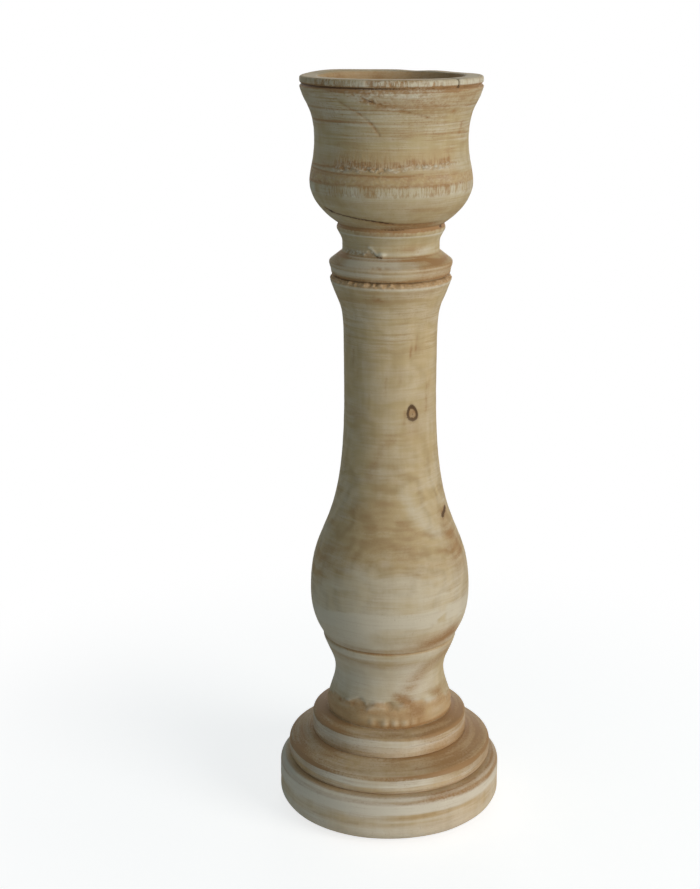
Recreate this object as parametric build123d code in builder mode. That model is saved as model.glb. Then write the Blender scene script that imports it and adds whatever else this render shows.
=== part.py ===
"""A turned wooden pricket candle stand on a stacked round base.

Millimetres, +Z up. The origin is the middle of the felt's underside, where the stand rests.
"""
import os

from build123d import *

os.makedirs("parts", exist_ok=True)

# Fits
GLUE_GAP = 0.1          # all round a tenon or dowel, for the glue
END_GAP = 0.5           # left at the blind end of a tenon or dowel
SCREW_GAP = 0.1         # between a screw's thread and the wood it has cut

# Felt disc under the foot
FELT_R = 52.0
FELT_T = 2.0

# Plinth, the lowest disc
PLINTH_R = 61.2
PLINTH_H = 26.0
PLINTH_FOOT_ROUND = 7.0
PLINTH_SHOULDER_ROUND = 5.0

# Middle disc: a bevelled lower edge, a rounded brim and a top that falls outwards
MIDDLE_R = 56.2
MIDDLE_H = 15.0
MIDDLE_BEVEL_W = 1.5
MIDDLE_BEVEL_H = 2.4
MIDDLE_ROUND = 3.5
MIDDLE_FALL = 4.0

# Top disc, with the same kind of top, turned from the same stock as the stem's belly
BELLY_OVERHANG = 0.6    # how far the belly stands out past this disc
TOP_H = 13.0
TOP_ROUND = 1.8
TOP_FALL = 1.8
SEAT_LEDGE = 0.5        # flat left showing round the piece that stands on a disc
BRIM_TURN = 75          # degrees that a disc's brim turns before its top starts

# Stem, from its foot upwards: radii, the height of each cut, then how the curved cuts run:
# a hold is the share of a cut's height that keeps to the slope at its end
FOOT_R = 34.1
WAIST_R = 29.85
COVE_EDGE_R = 36.4
STEM_GROOVE_R = 35.6
BELLY_FOOT_R = 36.7
BELLY_R = 43.2
SHAFT_R = 24.4
SHAFT_TOP_R = 24.5
STEM_TOP_R = 31.7
FOOT_BAND_H = 4.5
LOWER_COVE_H = 18.5
UPPER_COVE_H = 20.5
STEM_GROOVE_H = 1.8
BELLY_LOWER_H = 24.1
BELLY_UPPER_H = 111.6
SHAFT_H = 25.0
SHAFT_FLARE_H = 35.5
SHAFT_EDGE_H = 1.5
LOWER_COVE_HOLDS = (0.20, 0.39)
UPPER_COVE_HOLDS = (0.40, 0.36)
UPPER_COVE_SLOPES = (0, 0.30)
BELLY_LOWER_HOLDS = (0.09, 0.65)
BELLY_UPPER_HOLDS = (0.375, 0.75)
SHAFT_FLARE_HOLDS = (0.70, 0.46)
SHAFT_FLARE_SLOPES = (0, 0.31)

# Tenon under the stem, through the two upper discs and into the plinth
TENON_R = 14.0
TENON_CHAMFER = 1.5
MORTISE_DEPTH = 8.0

# Loose dowel between stem and cup
DOWEL_R = 10.0
DOWEL_CHAMFER = 1.2
DOWEL_FLUTES = 16
DOWEL_FLUTE_R = 0.5
STEM_SOCKET_DEPTH = 28.0
CUP_SOCKET_DEPTH = 24.0

# Cup, from its ring upwards: radii, the height of each cut, then how the curved cuts run
JOINT_R = 29.8          # bottom of the groove where stem and cup meet
RING_FOOT_R = 31.1
RING_R = 32.1
NECK_R = 25.2
COLLAR_R = 28.05
COLLAR_GROOVE_R = 27.2
BOWL_R = 41.8
BOWL_WAIST_R = 39.2
LIP_R = 46.65
RIM_R = 46.5
RIM_GROOVE_DEPTH = 1.3
RING_EDGE_H = 1.4
RING_COVE_H = 4.5
RING_LIP_H = 1.6
RING_CONE_H = 5.3
NECK_H = 4.7
NECK_FLARE_H = 6.6
COLLAR_H = 1.2
COLLAR_GROOVE_H = 1.7
BOWL_UNDER_H = 21.2
BOWL_SIDE_H = 20.8
BOWL_FLARE_H = 27.0
RIM_GROOVE_H = 1.9
RIM_BAND_H = 3.1
RING_COVE_HOLDS = (0.4, 0.4)
RING_COVE_SLOPES = (0, 0.35)
NECK_FLARE_HOLDS = (0.3, 0.3)
NECK_FLARE_SLOPES = (0, 0.45)
BOWL_UNDER_HOLDS = (0.38, 0.24)
BOWL_UNDER_SLOPES = (1.5, 0)
BOWL_SIDE_HOLDS = (0.26, 0.45)
BOWL_FLARE_HOLDS = (0.62, 0.34)
BOWL_FLARE_SLOPES = (0, 0.23)

# Hollow of the cup
MOUTH_R = 37.2
FLOOR_R = 29.0
CUP_DEPTH = 50.0
FLOOR_ROUND = 4.0
RIM_ROUND = 1.2
MOUTH_ROUND = 0.9

# Coach screw and washer under the base
SCREW_CREST_R = 4.0
SCREW_CORE_R = 2.9
SCREW_PITCH = 3.0
SCREW_PLAIN = 20.0
SCREW_THREADED = 33.0
SCREW_POINT = 6.0
SCREW_HEAD_AF = 13.0    # across the flats
SCREW_HEAD_H = 5.5
SCREW_HOLE_CLEARANCE = 0.4
WASHER_R = 10.0
WASHER_T = 1.8
WASHER_EDGE = 0.4
COUNTERBORE_CLEARANCE = 1.5
HEAD_RECESS = 1.7       # how far the head stays above the felt

# Spike in the cup's floor: flange, boss through the pan, straight root, taper
SPIKE_R = 2.5
SPIKE_ROOT_H = 12.5
SPIKE_TAPER_H = 20.0
SPIKE_TIP_R = 0.35
BOSS_R = 3.2
BOSS_H = 1.5
FLANGE_R = 8.0
FLANGE_T = 2.0
FLANGE_CLEARANCE = 0.2
SPIKE_CREST_R = 2.4
SPIKE_CORE_R = 1.7
SPIKE_PITCH = 2.0
SPIKE_NECK = 2.0
SPIKE_THREADED = 11.0
SPIKE_POINT = 3.5

# Drip pan round the spike
PAN_T = 0.8
PAN_HOLE_CLEARANCE = 0.5
PAN_FLAT_R = 23.5
PAN_RIM_R = 26.6
PAN_RIM_H = 5.0
PAN_BEND_R = 2.4
PAN_BEAD_R = 0.9

# Heights of the stacked pieces, and sizes that follow from others
TOP_R = BELLY_R - BELLY_OVERHANG
PLINTH_Z = FELT_T
MIDDLE_Z = PLINTH_Z + PLINTH_H
TOP_Z = MIDDLE_Z + MIDDLE_H
STEM_Z = TOP_Z + TOP_H
COVE_Z = STEM_Z + FOOT_BAND_H
WAIST_Z = COVE_Z + LOWER_COVE_H
STEM_GROOVE_Z = WAIST_Z + UPPER_COVE_H
BELLY_FOOT_Z = STEM_GROOVE_Z + STEM_GROOVE_H
BELLY_Z = BELLY_FOOT_Z + BELLY_LOWER_H
SHAFT_Z = BELLY_Z + BELLY_UPPER_H
SHAFT_TOP_Z = SHAFT_Z + SHAFT_H
STEM_EDGE_Z = SHAFT_TOP_Z + SHAFT_FLARE_H
CUP_Z = STEM_EDGE_Z + SHAFT_EDGE_H
RING_FOOT_Z = CUP_Z + RING_EDGE_H
RING_Z = RING_FOOT_Z + RING_COVE_H
RING_TOP_Z = RING_Z + RING_LIP_H
NECK_Z = RING_TOP_Z + RING_CONE_H
NECK_TOP_Z = NECK_Z + NECK_H
COLLAR_Z = NECK_TOP_Z + NECK_FLARE_H
COLLAR_TOP_Z = COLLAR_Z + COLLAR_H
BOWL_FOOT_Z = COLLAR_TOP_Z + COLLAR_GROOVE_H
BOWL_Z = BOWL_FOOT_Z + BOWL_UNDER_H
BOWL_WAIST_Z = BOWL_Z + BOWL_SIDE_H
LIP_Z = BOWL_WAIST_Z + BOWL_FLARE_H
BAND_Z = LIP_Z + RIM_GROOVE_H
RIM_Z = BAND_Z + RIM_BAND_H
FLOOR_Z = RIM_Z - CUP_DEPTH
TENON_Z = MIDDLE_Z - MORTISE_DEPTH + END_GAP
COUNTERBORE_DEPTH = HEAD_RECESS + SCREW_HEAD_H + WASHER_T
WASHER_Z = PLINTH_Z + HEAD_RECESS + SCREW_HEAD_H


def turned_cut(start, end, holds, slopes=(0, 0)):
    """One sweep of the gouge, as a cubic curve from start to end, each a radius and a height.

    The slopes are the change of radius over height at the two ends. The holds are the shares
    of the cut's height over which the curve keeps close to them.
    """
    height = end[1] - start[1]
    leave, arrive = holds[0] * height, holds[1] * height
    Bezier(
        start,
        (start[0] + slopes[0] * leave, start[1] + leave),
        (end[0] - slopes[1] * arrive, end[1] - arrive),
        end,
    )


def shank(crest_r, core_r, pitch, plain, threaded, point, gap=0.0):
    """Half outline of a wood screw's shank, as radii and distances from under the head.

    A plain neck comes first, then a ridge for each turn of the thread, then the point.
    The gap widens the outline all round, for the hole that the screw cuts.
    """
    turns = int(threaded // pitch)
    outline = [(crest_r + gap, 0), (crest_r + gap, plain), (core_r + gap, plain)]
    for turn in range(turns):
        start = plain + turn * pitch
        outline += [(crest_r + gap, start + pitch / 2), (core_r + gap, start + pitch)]
    return outline + [(0, plain + turns * pitch + point + gap)]


def base_shank(gap=0.0):
    """The coach screw's shank, upwards from the washer."""
    outline = shank(
        SCREW_CREST_R, SCREW_CORE_R, SCREW_PITCH, SCREW_PLAIN, SCREW_THREADED, SCREW_POINT, gap
    )
    return [(0, WASHER_Z)] + [(r, WASHER_Z + along) for r, along in outline]


def spike_shank(gap=0.0):
    """The spike's threaded shank, downwards from its flange."""
    outline = shank(
        SPIKE_CREST_R, SPIKE_CORE_R, SPIKE_PITCH, SPIKE_NECK, SPIKE_THREADED, SPIKE_POINT, gap
    )
    flange_z = FLOOR_Z - FLANGE_T
    return [(0, flange_z)] + [(r, flange_z - along) for r, along in outline]


# Felt pad
with BuildPart() as felt_pad:
    with BuildSketch():
        Circle(FELT_R)
    extrude(amount=FELT_T)
felt_pad.part.label = "felt_pad"
export_step(felt_pad.part, "parts/felt_pad.step")

# Plinth: mortise for the tenon above, counterbored screw hole beneath
with BuildPart() as base_plinth:
    with BuildSketch(Plane.XZ):
        with BuildLine():
            Line((0, PLINTH_Z), (PLINTH_R - PLINTH_FOOT_ROUND, PLINTH_Z))
            foot_edge = JernArc(
                (PLINTH_R - PLINTH_FOOT_ROUND, PLINTH_Z), (1, 0), PLINTH_FOOT_ROUND, 90
            )
            wall = Line(foot_edge @ 1, (PLINTH_R, MIDDLE_Z - PLINTH_SHOULDER_ROUND))
            shoulder = JernArc(wall @ 1, (0, 1), PLINTH_SHOULDER_ROUND, 90)
            Polyline(shoulder @ 1, (0, MIDDLE_Z), (0, PLINTH_Z))
        make_face()
    revolve(axis=Axis.Z)
    with Locations((0, 0, MIDDLE_Z)):
        Hole(TENON_R + GLUE_GAP, MORTISE_DEPTH)
    with Locations(Plane((0, 0, PLINTH_Z), z_dir=(0, 0, -1))):
        CounterBoreHole(
            SCREW_CREST_R + SCREW_HOLE_CLEARANCE,
            WASHER_R + COUNTERBORE_CLEARANCE,
            COUNTERBORE_DEPTH,
        )
base_plinth.part.label = "base_plinth"
export_step(base_plinth.part, "parts/base_plinth.step")

# Middle disc
with BuildPart() as base_middle_tier:
    with BuildSketch(Plane.XZ):
        with BuildLine():
            wall = Polyline(
                (0, MIDDLE_Z),
                (MIDDLE_R - MIDDLE_BEVEL_W, MIDDLE_Z),
                (MIDDLE_R, MIDDLE_Z + MIDDLE_BEVEL_H),
                (MIDDLE_R, TOP_Z - MIDDLE_FALL - MIDDLE_ROUND),
            )
            brim = JernArc(wall @ 1, (0, 1), MIDDLE_ROUND, BRIM_TURN)
            Polyline(brim @ 1, (TOP_R + SEAT_LEDGE, TOP_Z), (0, TOP_Z), (0, MIDDLE_Z))
        make_face()
    revolve(axis=Axis.Z)
    with Locations((0, 0, TOP_Z)):
        Hole(TENON_R + GLUE_GAP)
base_middle_tier.part.label = "base_middle_tier"
export_step(base_middle_tier.part, "parts/base_middle_tier.step")

# Top disc
with BuildPart() as base_top_tier:
    with BuildSketch(Plane.XZ):
        with BuildLine():
            wall = Polyline(
                (0, TOP_Z), (TOP_R, TOP_Z), (TOP_R, STEM_Z - TOP_FALL - TOP_ROUND)
            )
            brim = JernArc(wall @ 1, (0, 1), TOP_ROUND, BRIM_TURN)
            Polyline(brim @ 1, (FOOT_R + SEAT_LEDGE, STEM_Z), (0, STEM_Z), (0, TOP_Z))
        make_face()
    revolve(axis=Axis.Z)
    with Locations((0, 0, STEM_Z)):
        Hole(TENON_R + GLUE_GAP)
base_top_tier.part.label = "base_top_tier"
export_step(base_top_tier.part, "parts/base_top_tier.step")

# Stem: baluster and tenon in one turning, with a dowel socket and the screw's hole
with BuildPart() as stem:
    with BuildSketch(Plane.XZ):
        with BuildLine():
            Polyline(
                (0, TENON_Z),
                (TENON_R - TENON_CHAMFER, TENON_Z),
                (TENON_R, TENON_Z + TENON_CHAMFER),
                (TENON_R, STEM_Z),
                (FOOT_R, STEM_Z),
                (FOOT_R, COVE_Z),
            )
            turned_cut((FOOT_R, COVE_Z), (WAIST_R, WAIST_Z), LOWER_COVE_HOLDS)
            turned_cut(
                (WAIST_R, WAIST_Z),
                (COVE_EDGE_R, STEM_GROOVE_Z),
                UPPER_COVE_HOLDS,
                UPPER_COVE_SLOPES,
            )
            Polyline(
                (COVE_EDGE_R, STEM_GROOVE_Z),
                (STEM_GROOVE_R, (STEM_GROOVE_Z + BELLY_FOOT_Z) / 2),
                (BELLY_FOOT_R, BELLY_FOOT_Z),
            )
            turned_cut((BELLY_FOOT_R, BELLY_FOOT_Z), (BELLY_R, BELLY_Z), BELLY_LOWER_HOLDS)
            turned_cut((BELLY_R, BELLY_Z), (SHAFT_R, SHAFT_Z), BELLY_UPPER_HOLDS)
            Line((SHAFT_R, SHAFT_Z), (SHAFT_TOP_R, SHAFT_TOP_Z))
            turned_cut(
                (SHAFT_TOP_R, SHAFT_TOP_Z),
                (STEM_TOP_R, STEM_EDGE_Z),
                SHAFT_FLARE_HOLDS,
                SHAFT_FLARE_SLOPES,
            )
            Polyline((STEM_TOP_R, STEM_EDGE_Z), (JOINT_R, CUP_Z), (0, CUP_Z), (0, TENON_Z))
        make_face()
    revolve(axis=Axis.Z)
    with Locations((0, 0, CUP_Z)):
        Hole(DOWEL_R + GLUE_GAP, STEM_SOCKET_DEPTH)
    with BuildSketch(Plane.XZ):
        with BuildLine():
            Polyline(*base_shank(SCREW_GAP), close=True)
        make_face()
    revolve(axis=Axis.Z, mode=Mode.SUBTRACT)
stem.part.label = "stem"
export_step(stem.part, "parts/stem.step")

# Fluted dowel: the flutes let the air and spare glue out of the sockets
with BuildPart() as upper_dowel:
    dowel_foot_z = CUP_Z - STEM_SOCKET_DEPTH + END_GAP
    dowel_top_z = CUP_Z + CUP_SOCKET_DEPTH - END_GAP
    with BuildSketch(Plane.XZ):
        with BuildLine():
            Polyline(
                (0, dowel_foot_z),
                (DOWEL_R - DOWEL_CHAMFER, dowel_foot_z),
                (DOWEL_R, dowel_foot_z + DOWEL_CHAMFER),
                (DOWEL_R, dowel_top_z - DOWEL_CHAMFER),
                (DOWEL_R - DOWEL_CHAMFER, dowel_top_z),
                (0, dowel_top_z),
                close=True,
            )
        make_face()
    revolve(axis=Axis.Z)
    with BuildSketch(Plane.XY.offset(dowel_foot_z)):
        with PolarLocations(DOWEL_R, DOWEL_FLUTES):
            Circle(DOWEL_FLUTE_R)
    extrude(amount=dowel_top_z - dowel_foot_z, mode=Mode.SUBTRACT)
upper_dowel.part.label = "upper_dowel"
export_step(upper_dowel.part, "parts/upper_dowel.step")

# Candle cup: ring, neck, collar and bowl in one turning, hollowed from the rim
with BuildPart() as candle_cup:
    with BuildSketch(Plane.XZ):
        with BuildLine():
            Polyline(
                (0, CUP_Z),
                (JOINT_R, CUP_Z),
                (RING_FOOT_R, RING_FOOT_Z),
            )
            turned_cut(
                (RING_FOOT_R, RING_FOOT_Z), (RING_R, RING_Z), RING_COVE_HOLDS, RING_COVE_SLOPES
            )
            Polyline(
                (RING_R, RING_Z), (RING_R, RING_TOP_Z), (NECK_R, NECK_Z), (NECK_R, NECK_TOP_Z)
            )
            turned_cut(
                (NECK_R, NECK_TOP_Z), (COLLAR_R, COLLAR_Z), NECK_FLARE_HOLDS, NECK_FLARE_SLOPES
            )
            Polyline(
                (COLLAR_R, COLLAR_Z),
                (COLLAR_R, COLLAR_TOP_Z),
                (COLLAR_GROOVE_R, BOWL_FOOT_Z),
            )
            turned_cut(
                (COLLAR_GROOVE_R, BOWL_FOOT_Z), (BOWL_R, BOWL_Z), BOWL_UNDER_HOLDS, BOWL_UNDER_SLOPES
            )
            turned_cut((BOWL_R, BOWL_Z), (BOWL_WAIST_R, BOWL_WAIST_Z), BOWL_SIDE_HOLDS)
            turned_cut(
                (BOWL_WAIST_R, BOWL_WAIST_Z), (LIP_R, LIP_Z), BOWL_FLARE_HOLDS, BOWL_FLARE_SLOPES
            )
            Polyline(
                (LIP_R, LIP_Z),
                (LIP_R - RIM_GROOVE_DEPTH, (LIP_Z + BAND_Z) / 2),
                (RIM_R, BAND_Z),
                (RIM_R, RIM_Z),
                (0, RIM_Z),
                (0, CUP_Z),
            )
        make_face()
    revolve(axis=Axis.Z)
    with BuildSketch(Plane.XZ) as hollow:
        with BuildLine():
            Polyline(
                (0, FLOOR_Z), (FLOOR_R, FLOOR_Z), (MOUTH_R, RIM_Z), (0, RIM_Z), close=True
            )
        make_face()
        fillet(hollow.vertices().group_by(Axis.Y)[0].sort_by(Axis.X)[-1], FLOOR_ROUND)
    revolve(axis=Axis.Z, mode=Mode.SUBTRACT)
    rim_edges = candle_cup.edges().filter_by(GeomType.CIRCLE).group_by(Axis.Z)[-1]
    fillet(rim_edges.sort_by(SortBy.RADIUS)[-1], RIM_ROUND)
    rim_edges = candle_cup.edges().filter_by(GeomType.CIRCLE).group_by(Axis.Z)[-1]
    fillet(rim_edges.sort_by(SortBy.RADIUS)[0], MOUTH_ROUND)
    with Locations(Plane((0, 0, CUP_Z), z_dir=(0, 0, -1))):
        Hole(DOWEL_R + GLUE_GAP, CUP_SOCKET_DEPTH)
    with Locations((0, 0, FLOOR_Z)):
        Hole(FLANGE_R + FLANGE_CLEARANCE, FLANGE_T)
    with BuildSketch(Plane.XZ):
        with BuildLine():
            Polyline(*spike_shank(SCREW_GAP), close=True)
        make_face()
    revolve(axis=Axis.Z, mode=Mode.SUBTRACT)
candle_cup.part.label = "candle_cup"
export_step(candle_cup.part, "parts/candle_cup.step")

# Coach screw, with its head below the washer
with BuildPart() as base_screw:
    with BuildSketch(Plane.XY.offset(WASHER_Z - SCREW_HEAD_H)):
        RegularPolygon(SCREW_HEAD_AF / 2, 6, major_radius=False)
    extrude(amount=SCREW_HEAD_H)
    with BuildSketch(Plane.XZ):
        with BuildLine():
            Polyline(*base_shank(), close=True)
        make_face()
    revolve(axis=Axis.Z)
base_screw.part.label = "base_screw"
export_step(base_screw.part, "parts/base_screw.step")

# Washer, against the top of the counterbore
with BuildPart() as base_washer:
    with BuildSketch(Plane.XY.offset(WASHER_Z)):
        Circle(WASHER_R)
        Circle(SCREW_CREST_R + SCREW_HOLE_CLEARANCE, mode=Mode.SUBTRACT)
    extrude(amount=WASHER_T)
    fillet(base_washer.edges().filter_by(GeomType.CIRCLE).group_by(SortBy.RADIUS)[-1], WASHER_EDGE)
base_washer.part.label = "base_washer"
export_step(base_washer.part, "parts/base_washer.step")

# Spike: wood thread, flange let into the floor, boss, straight root and taper to a blunt tip
with BuildPart() as pricket_spike:
    with BuildSketch(Plane.XZ):
        with BuildLine():
            root_z = FLOOR_Z + BOSS_H
            root_top_z = root_z + SPIKE_ROOT_H
            tip_z = root_top_z + SPIKE_TAPER_H
            taper = Polyline(
                (0, FLOOR_Z - FLANGE_T),
                (FLANGE_R, FLOOR_Z - FLANGE_T),
                (FLANGE_R, FLOOR_Z),
                (BOSS_R, FLOOR_Z),
                (BOSS_R, root_z),
                (SPIKE_R, root_z),
                (SPIKE_R, root_top_z),
                (SPIKE_TIP_R, tip_z),
            )
            tip = JernArc(taper @ 1, (0, 1), SPIKE_TIP_R, 90)
            Line(tip @ 1, taper @ 0)
        make_face()
    revolve(axis=Axis.Z)
    with BuildSketch(Plane.XZ):
        with BuildLine():
            Polyline(*spike_shank(), close=True)
        make_face()
    revolve(axis=Axis.Z)
pricket_spike.part.label = "pricket_spike"
export_step(pricket_spike.part, "parts/pricket_spike.step")

# Drip pan: a pressed dish with a rolled rim
with BuildPart() as drip_pan:
    pan_z = FLOOR_Z + PAN_T / 2
    with BuildSketch(Plane.XZ) as pan_section:
        with BuildLine():
            FilletPolyline(
                (BOSS_R + PAN_HOLE_CLEARANCE + PAN_T / 2, pan_z),
                (PAN_FLAT_R, pan_z),
                (PAN_RIM_R, pan_z + PAN_RIM_H),
                radius=PAN_BEND_R,
            )
            offset(amount=PAN_T / 2, side=Side.BOTH)
        make_face()
        with Locations((PAN_RIM_R, pan_z + PAN_RIM_H)):
            Circle(PAN_BEAD_R)
    revolve(axis=Axis.Z)
drip_pan.part.label = "drip_pan"
export_step(drip_pan.part, "parts/drip_pan.step")
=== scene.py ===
import bpy
import numpy as np
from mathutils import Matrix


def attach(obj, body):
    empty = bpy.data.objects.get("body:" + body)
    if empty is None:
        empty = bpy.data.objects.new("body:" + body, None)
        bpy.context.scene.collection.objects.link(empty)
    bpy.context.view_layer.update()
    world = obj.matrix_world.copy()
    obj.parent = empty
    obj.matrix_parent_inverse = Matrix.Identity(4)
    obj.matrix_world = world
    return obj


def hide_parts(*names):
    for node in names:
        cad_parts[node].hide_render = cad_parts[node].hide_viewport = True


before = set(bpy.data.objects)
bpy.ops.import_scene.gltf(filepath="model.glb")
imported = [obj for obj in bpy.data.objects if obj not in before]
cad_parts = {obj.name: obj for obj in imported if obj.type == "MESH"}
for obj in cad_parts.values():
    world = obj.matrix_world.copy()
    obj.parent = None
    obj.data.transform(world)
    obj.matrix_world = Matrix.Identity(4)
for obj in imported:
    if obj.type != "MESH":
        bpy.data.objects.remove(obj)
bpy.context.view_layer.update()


# Plinth: the lowest disc of the base, turned in pale softwood with a rounded foot and shoulder.
# Its top has a mortise for the stem's tenon, and a counterbored hole lets the coach screw up
# through its middle. The wood is whitewashed, rubbed back, and glazed brown in the hollows.
PLINTH_R = 61.2
PLINTH_FOOT_Z = 2.0
PLINTH_TOP_Z = 28.0
PLINTH_FOOT_ROUND = 7.0
PLINTH_SHOULDER_ROUND = 5.0
TENON_HOLE_R = 14.1
MORTISE_Z = 20.0
COUNTERBORE_R = 11.5
COUNTERBORE_Z = 11.0
SCREW_HOLE_R = 4.4

# Colours of the finish, in linear light
TAN = (0.53, 0.415, 0.228, 1)           # rubbed wood
RING_TAN = (0.405, 0.283, 0.140, 1)     # the darker part of a year's ring
WASH_AND_HIGHLIGHT = (0.68, 0.625, 0.50, 1)           # whitewash left on the wood, and the cup's painted highlights
GLAZE_AND_SHADE = (0.365, 0.197, 0.079, 1)        # brown glaze in hollows and tool lines, and painted shade
RAW = (0.56, 0.335, 0.155, 1)           # torn or unwashed wood
DEEP = (0.060, 0.028, 0.009, 1)         # cracks and pits, and painted shade
BASE_TAN_PAINTED_LIGHT = (0.67, 0.495, 0.275, 1)     # the base's wood, brightened as painted light for the stronger light on the base
BASE_WASH_PAINTED_LIGHT = (0.79, 0.715, 0.60, 1)     # and its wash, brightened the same way as painted light


def bend(centre, radius, start, stop):
    """Points of an arc: its centre plus the radius along each angle from start to stop, in degrees."""
    angle = np.radians(np.linspace(start, stop, 40))
    return np.column_stack(
        [centre[0] + radius * np.cos(angle), centre[1] + radius * np.sin(angle)]
    )


def outline(*cuts, wear=0.4):
    """A half outline, as rows of radius and height in mm, and whether it closes on itself.

    Each cut is a spacing and the points that it runs through; the spacing may be a pair of lists,
    heights and the spacing at each. The cuts are joined and sampled every 0.1 mm, and corners are
    worn round: a point is the mean of its neighbours, weighted by exp(-d*d / (2*wear*wear)) of
    their distance d.
    """
    fine = 0.1
    dense, gaps = [], []
    for gap, points in cuts:
        points = np.array(points, float)
        along = np.r_[0, np.cumsum(np.hypot(*np.diff(points, axis=0).T))]
        at = np.linspace(0, along[-1], max(2, round(along[-1] / fine) + 1))[:-1]
        dense.append(np.column_stack([np.interp(at, along, c) for c in points.T]))
        heights = dense[-1][:, 1]
        gaps.append(np.interp(heights, *gap) if np.ndim(gap) else np.full(len(at), gap))
    dense, gaps = np.vstack(dense), np.concatenate(gaps)
    closed = np.allclose(cuts[0][1][0], cuts[-1][1][-1])
    if not closed:
        dense, gaps = np.vstack([dense, cuts[-1][1][-1]]), np.r_[gaps, gaps[-1]]

    side = round(4 * wear / fine)
    bell = np.exp(-((np.arange(-side, side + 1) * fine / wear) ** 2) / 2)
    ends = {"mode": "wrap"} if closed else {"mode": "reflect", "reflect_type": "odd"}
    worn = np.column_stack(
        [np.convolve(np.pad(c, side, **ends), bell / bell.sum(), "valid") for c in dense.T]
    )
    around = np.vstack([worn, worn[:1]]) if closed else worn
    lengths = np.hypot(*np.diff(around, axis=0).T)
    rows = np.r_[0, np.cumsum(lengths / (gaps if closed else gaps[1:]))]
    wanted = np.linspace(0, rows[-1], int(rows[-1]) + 1)
    wanted = wanted[:-1] if closed else wanted
    return np.column_stack([np.interp(wanted, rows, c) for c in around.T]), closed


def band(value, low, high, soft):
    """1 from low to high, easing to 0 over soft on each side by t*t*(3-2*t)."""
    t = np.clip(np.minimum(value - low, high - value) / soft + 1, 0, 1)
    return t * t * (3 - 2 * t)


class Skin:
    """A turned surface as a grid of points, each with its turn in radians, height and radius in mm.

    Turn 0 faces the front, and turns run to the right. The methods give a value at each point.
    """

    REACH = 440     # the mm of rise that the random values cover

    def __init__(self, turn, high, out):
        self.turn, self.high, self.out = turn, high, out
        self.angle = np.degrees(turn)

    def belt(self, low, top, soft):
        """1 between two heights, easing to 0 over soft mm."""
        return band(self.high, low, top, soft)

    def side(self, left, right, soft):
        """1 between two angles in degrees, easing to 0 over soft degrees."""
        return band(self.angle, left, right, soft)

    def across(self, angle):
        """The mm round the surface from an angle in degrees, to the right."""
        return ((self.turn - np.radians(angle) + np.pi) % (2 * np.pi) - np.pi) * self.out

    def patchy(self, cells, tall, seed, rise=None):
        """Smooth random values from -1 to 1 that close round the turning.

        Random numbers stand on a lattice, so many cells round the axis and one every tall mm of
        rise, the height unless it is given. Between them t*t*(3-2*t) of the distance t blends each
        number into the next.
        """
        rise = self.high if rise is None else rise
        levels = int(self.REACH / tall) + 3
        lattice = np.random.default_rng(seed).uniform(-1, 1, (levels, cells))
        u, v = (self.turn / (2 * np.pi) + 0.5) * cells, np.maximum(rise, 0) / tall
        j, i = np.floor(u).astype(int), np.floor(v).astype(int)
        b, a = u - j, v - i
        b, a = b * b * (3 - 2 * b), a * a * (3 - 2 * a)
        low = lattice[i, j % cells] * (1 - b) + lattice[i, (j + 1) % cells] * b
        top = lattice[i + 1, j % cells] * (1 - b) + lattice[i + 1, (j + 1) % cells] * b
        return low * (1 - a) + top * a

    def ragged(self, cells, seed):
        """Smooth random values from -1 to 1 that change round the axis alone."""
        return self.patchy(cells, self.REACH, seed, 0 * self.high)

    def spot(self, angle, height, width, tall):
        """A soft mark: exp(-(a/width)**2 - (h/tall)**2), with a and h the mm from its middle."""
        return np.exp(-((self.across(angle) / width) ** 2) - ((self.high - height) / tall) ** 2)

    def stroke(self, width, *path):
        """A thin mark along points of angle and height: exp(-(d/width)**2) of the mm d to it."""
        near = np.full(self.turn.shape, 1e9)
        for (angle, height), (next_angle, next_height) in zip(path, path[1:]):
            a, h = self.across(angle), self.high - height
            run_a, run_h = np.radians(next_angle - angle) * self.out, next_height - height
            t = np.clip((a * run_a + h * run_h) / (run_a**2 + run_h**2), 0, 1)
            near = np.minimum(near, np.hypot(a - t * run_a, h - t * run_h))
        return np.exp(-((near / width) ** 2))


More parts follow.
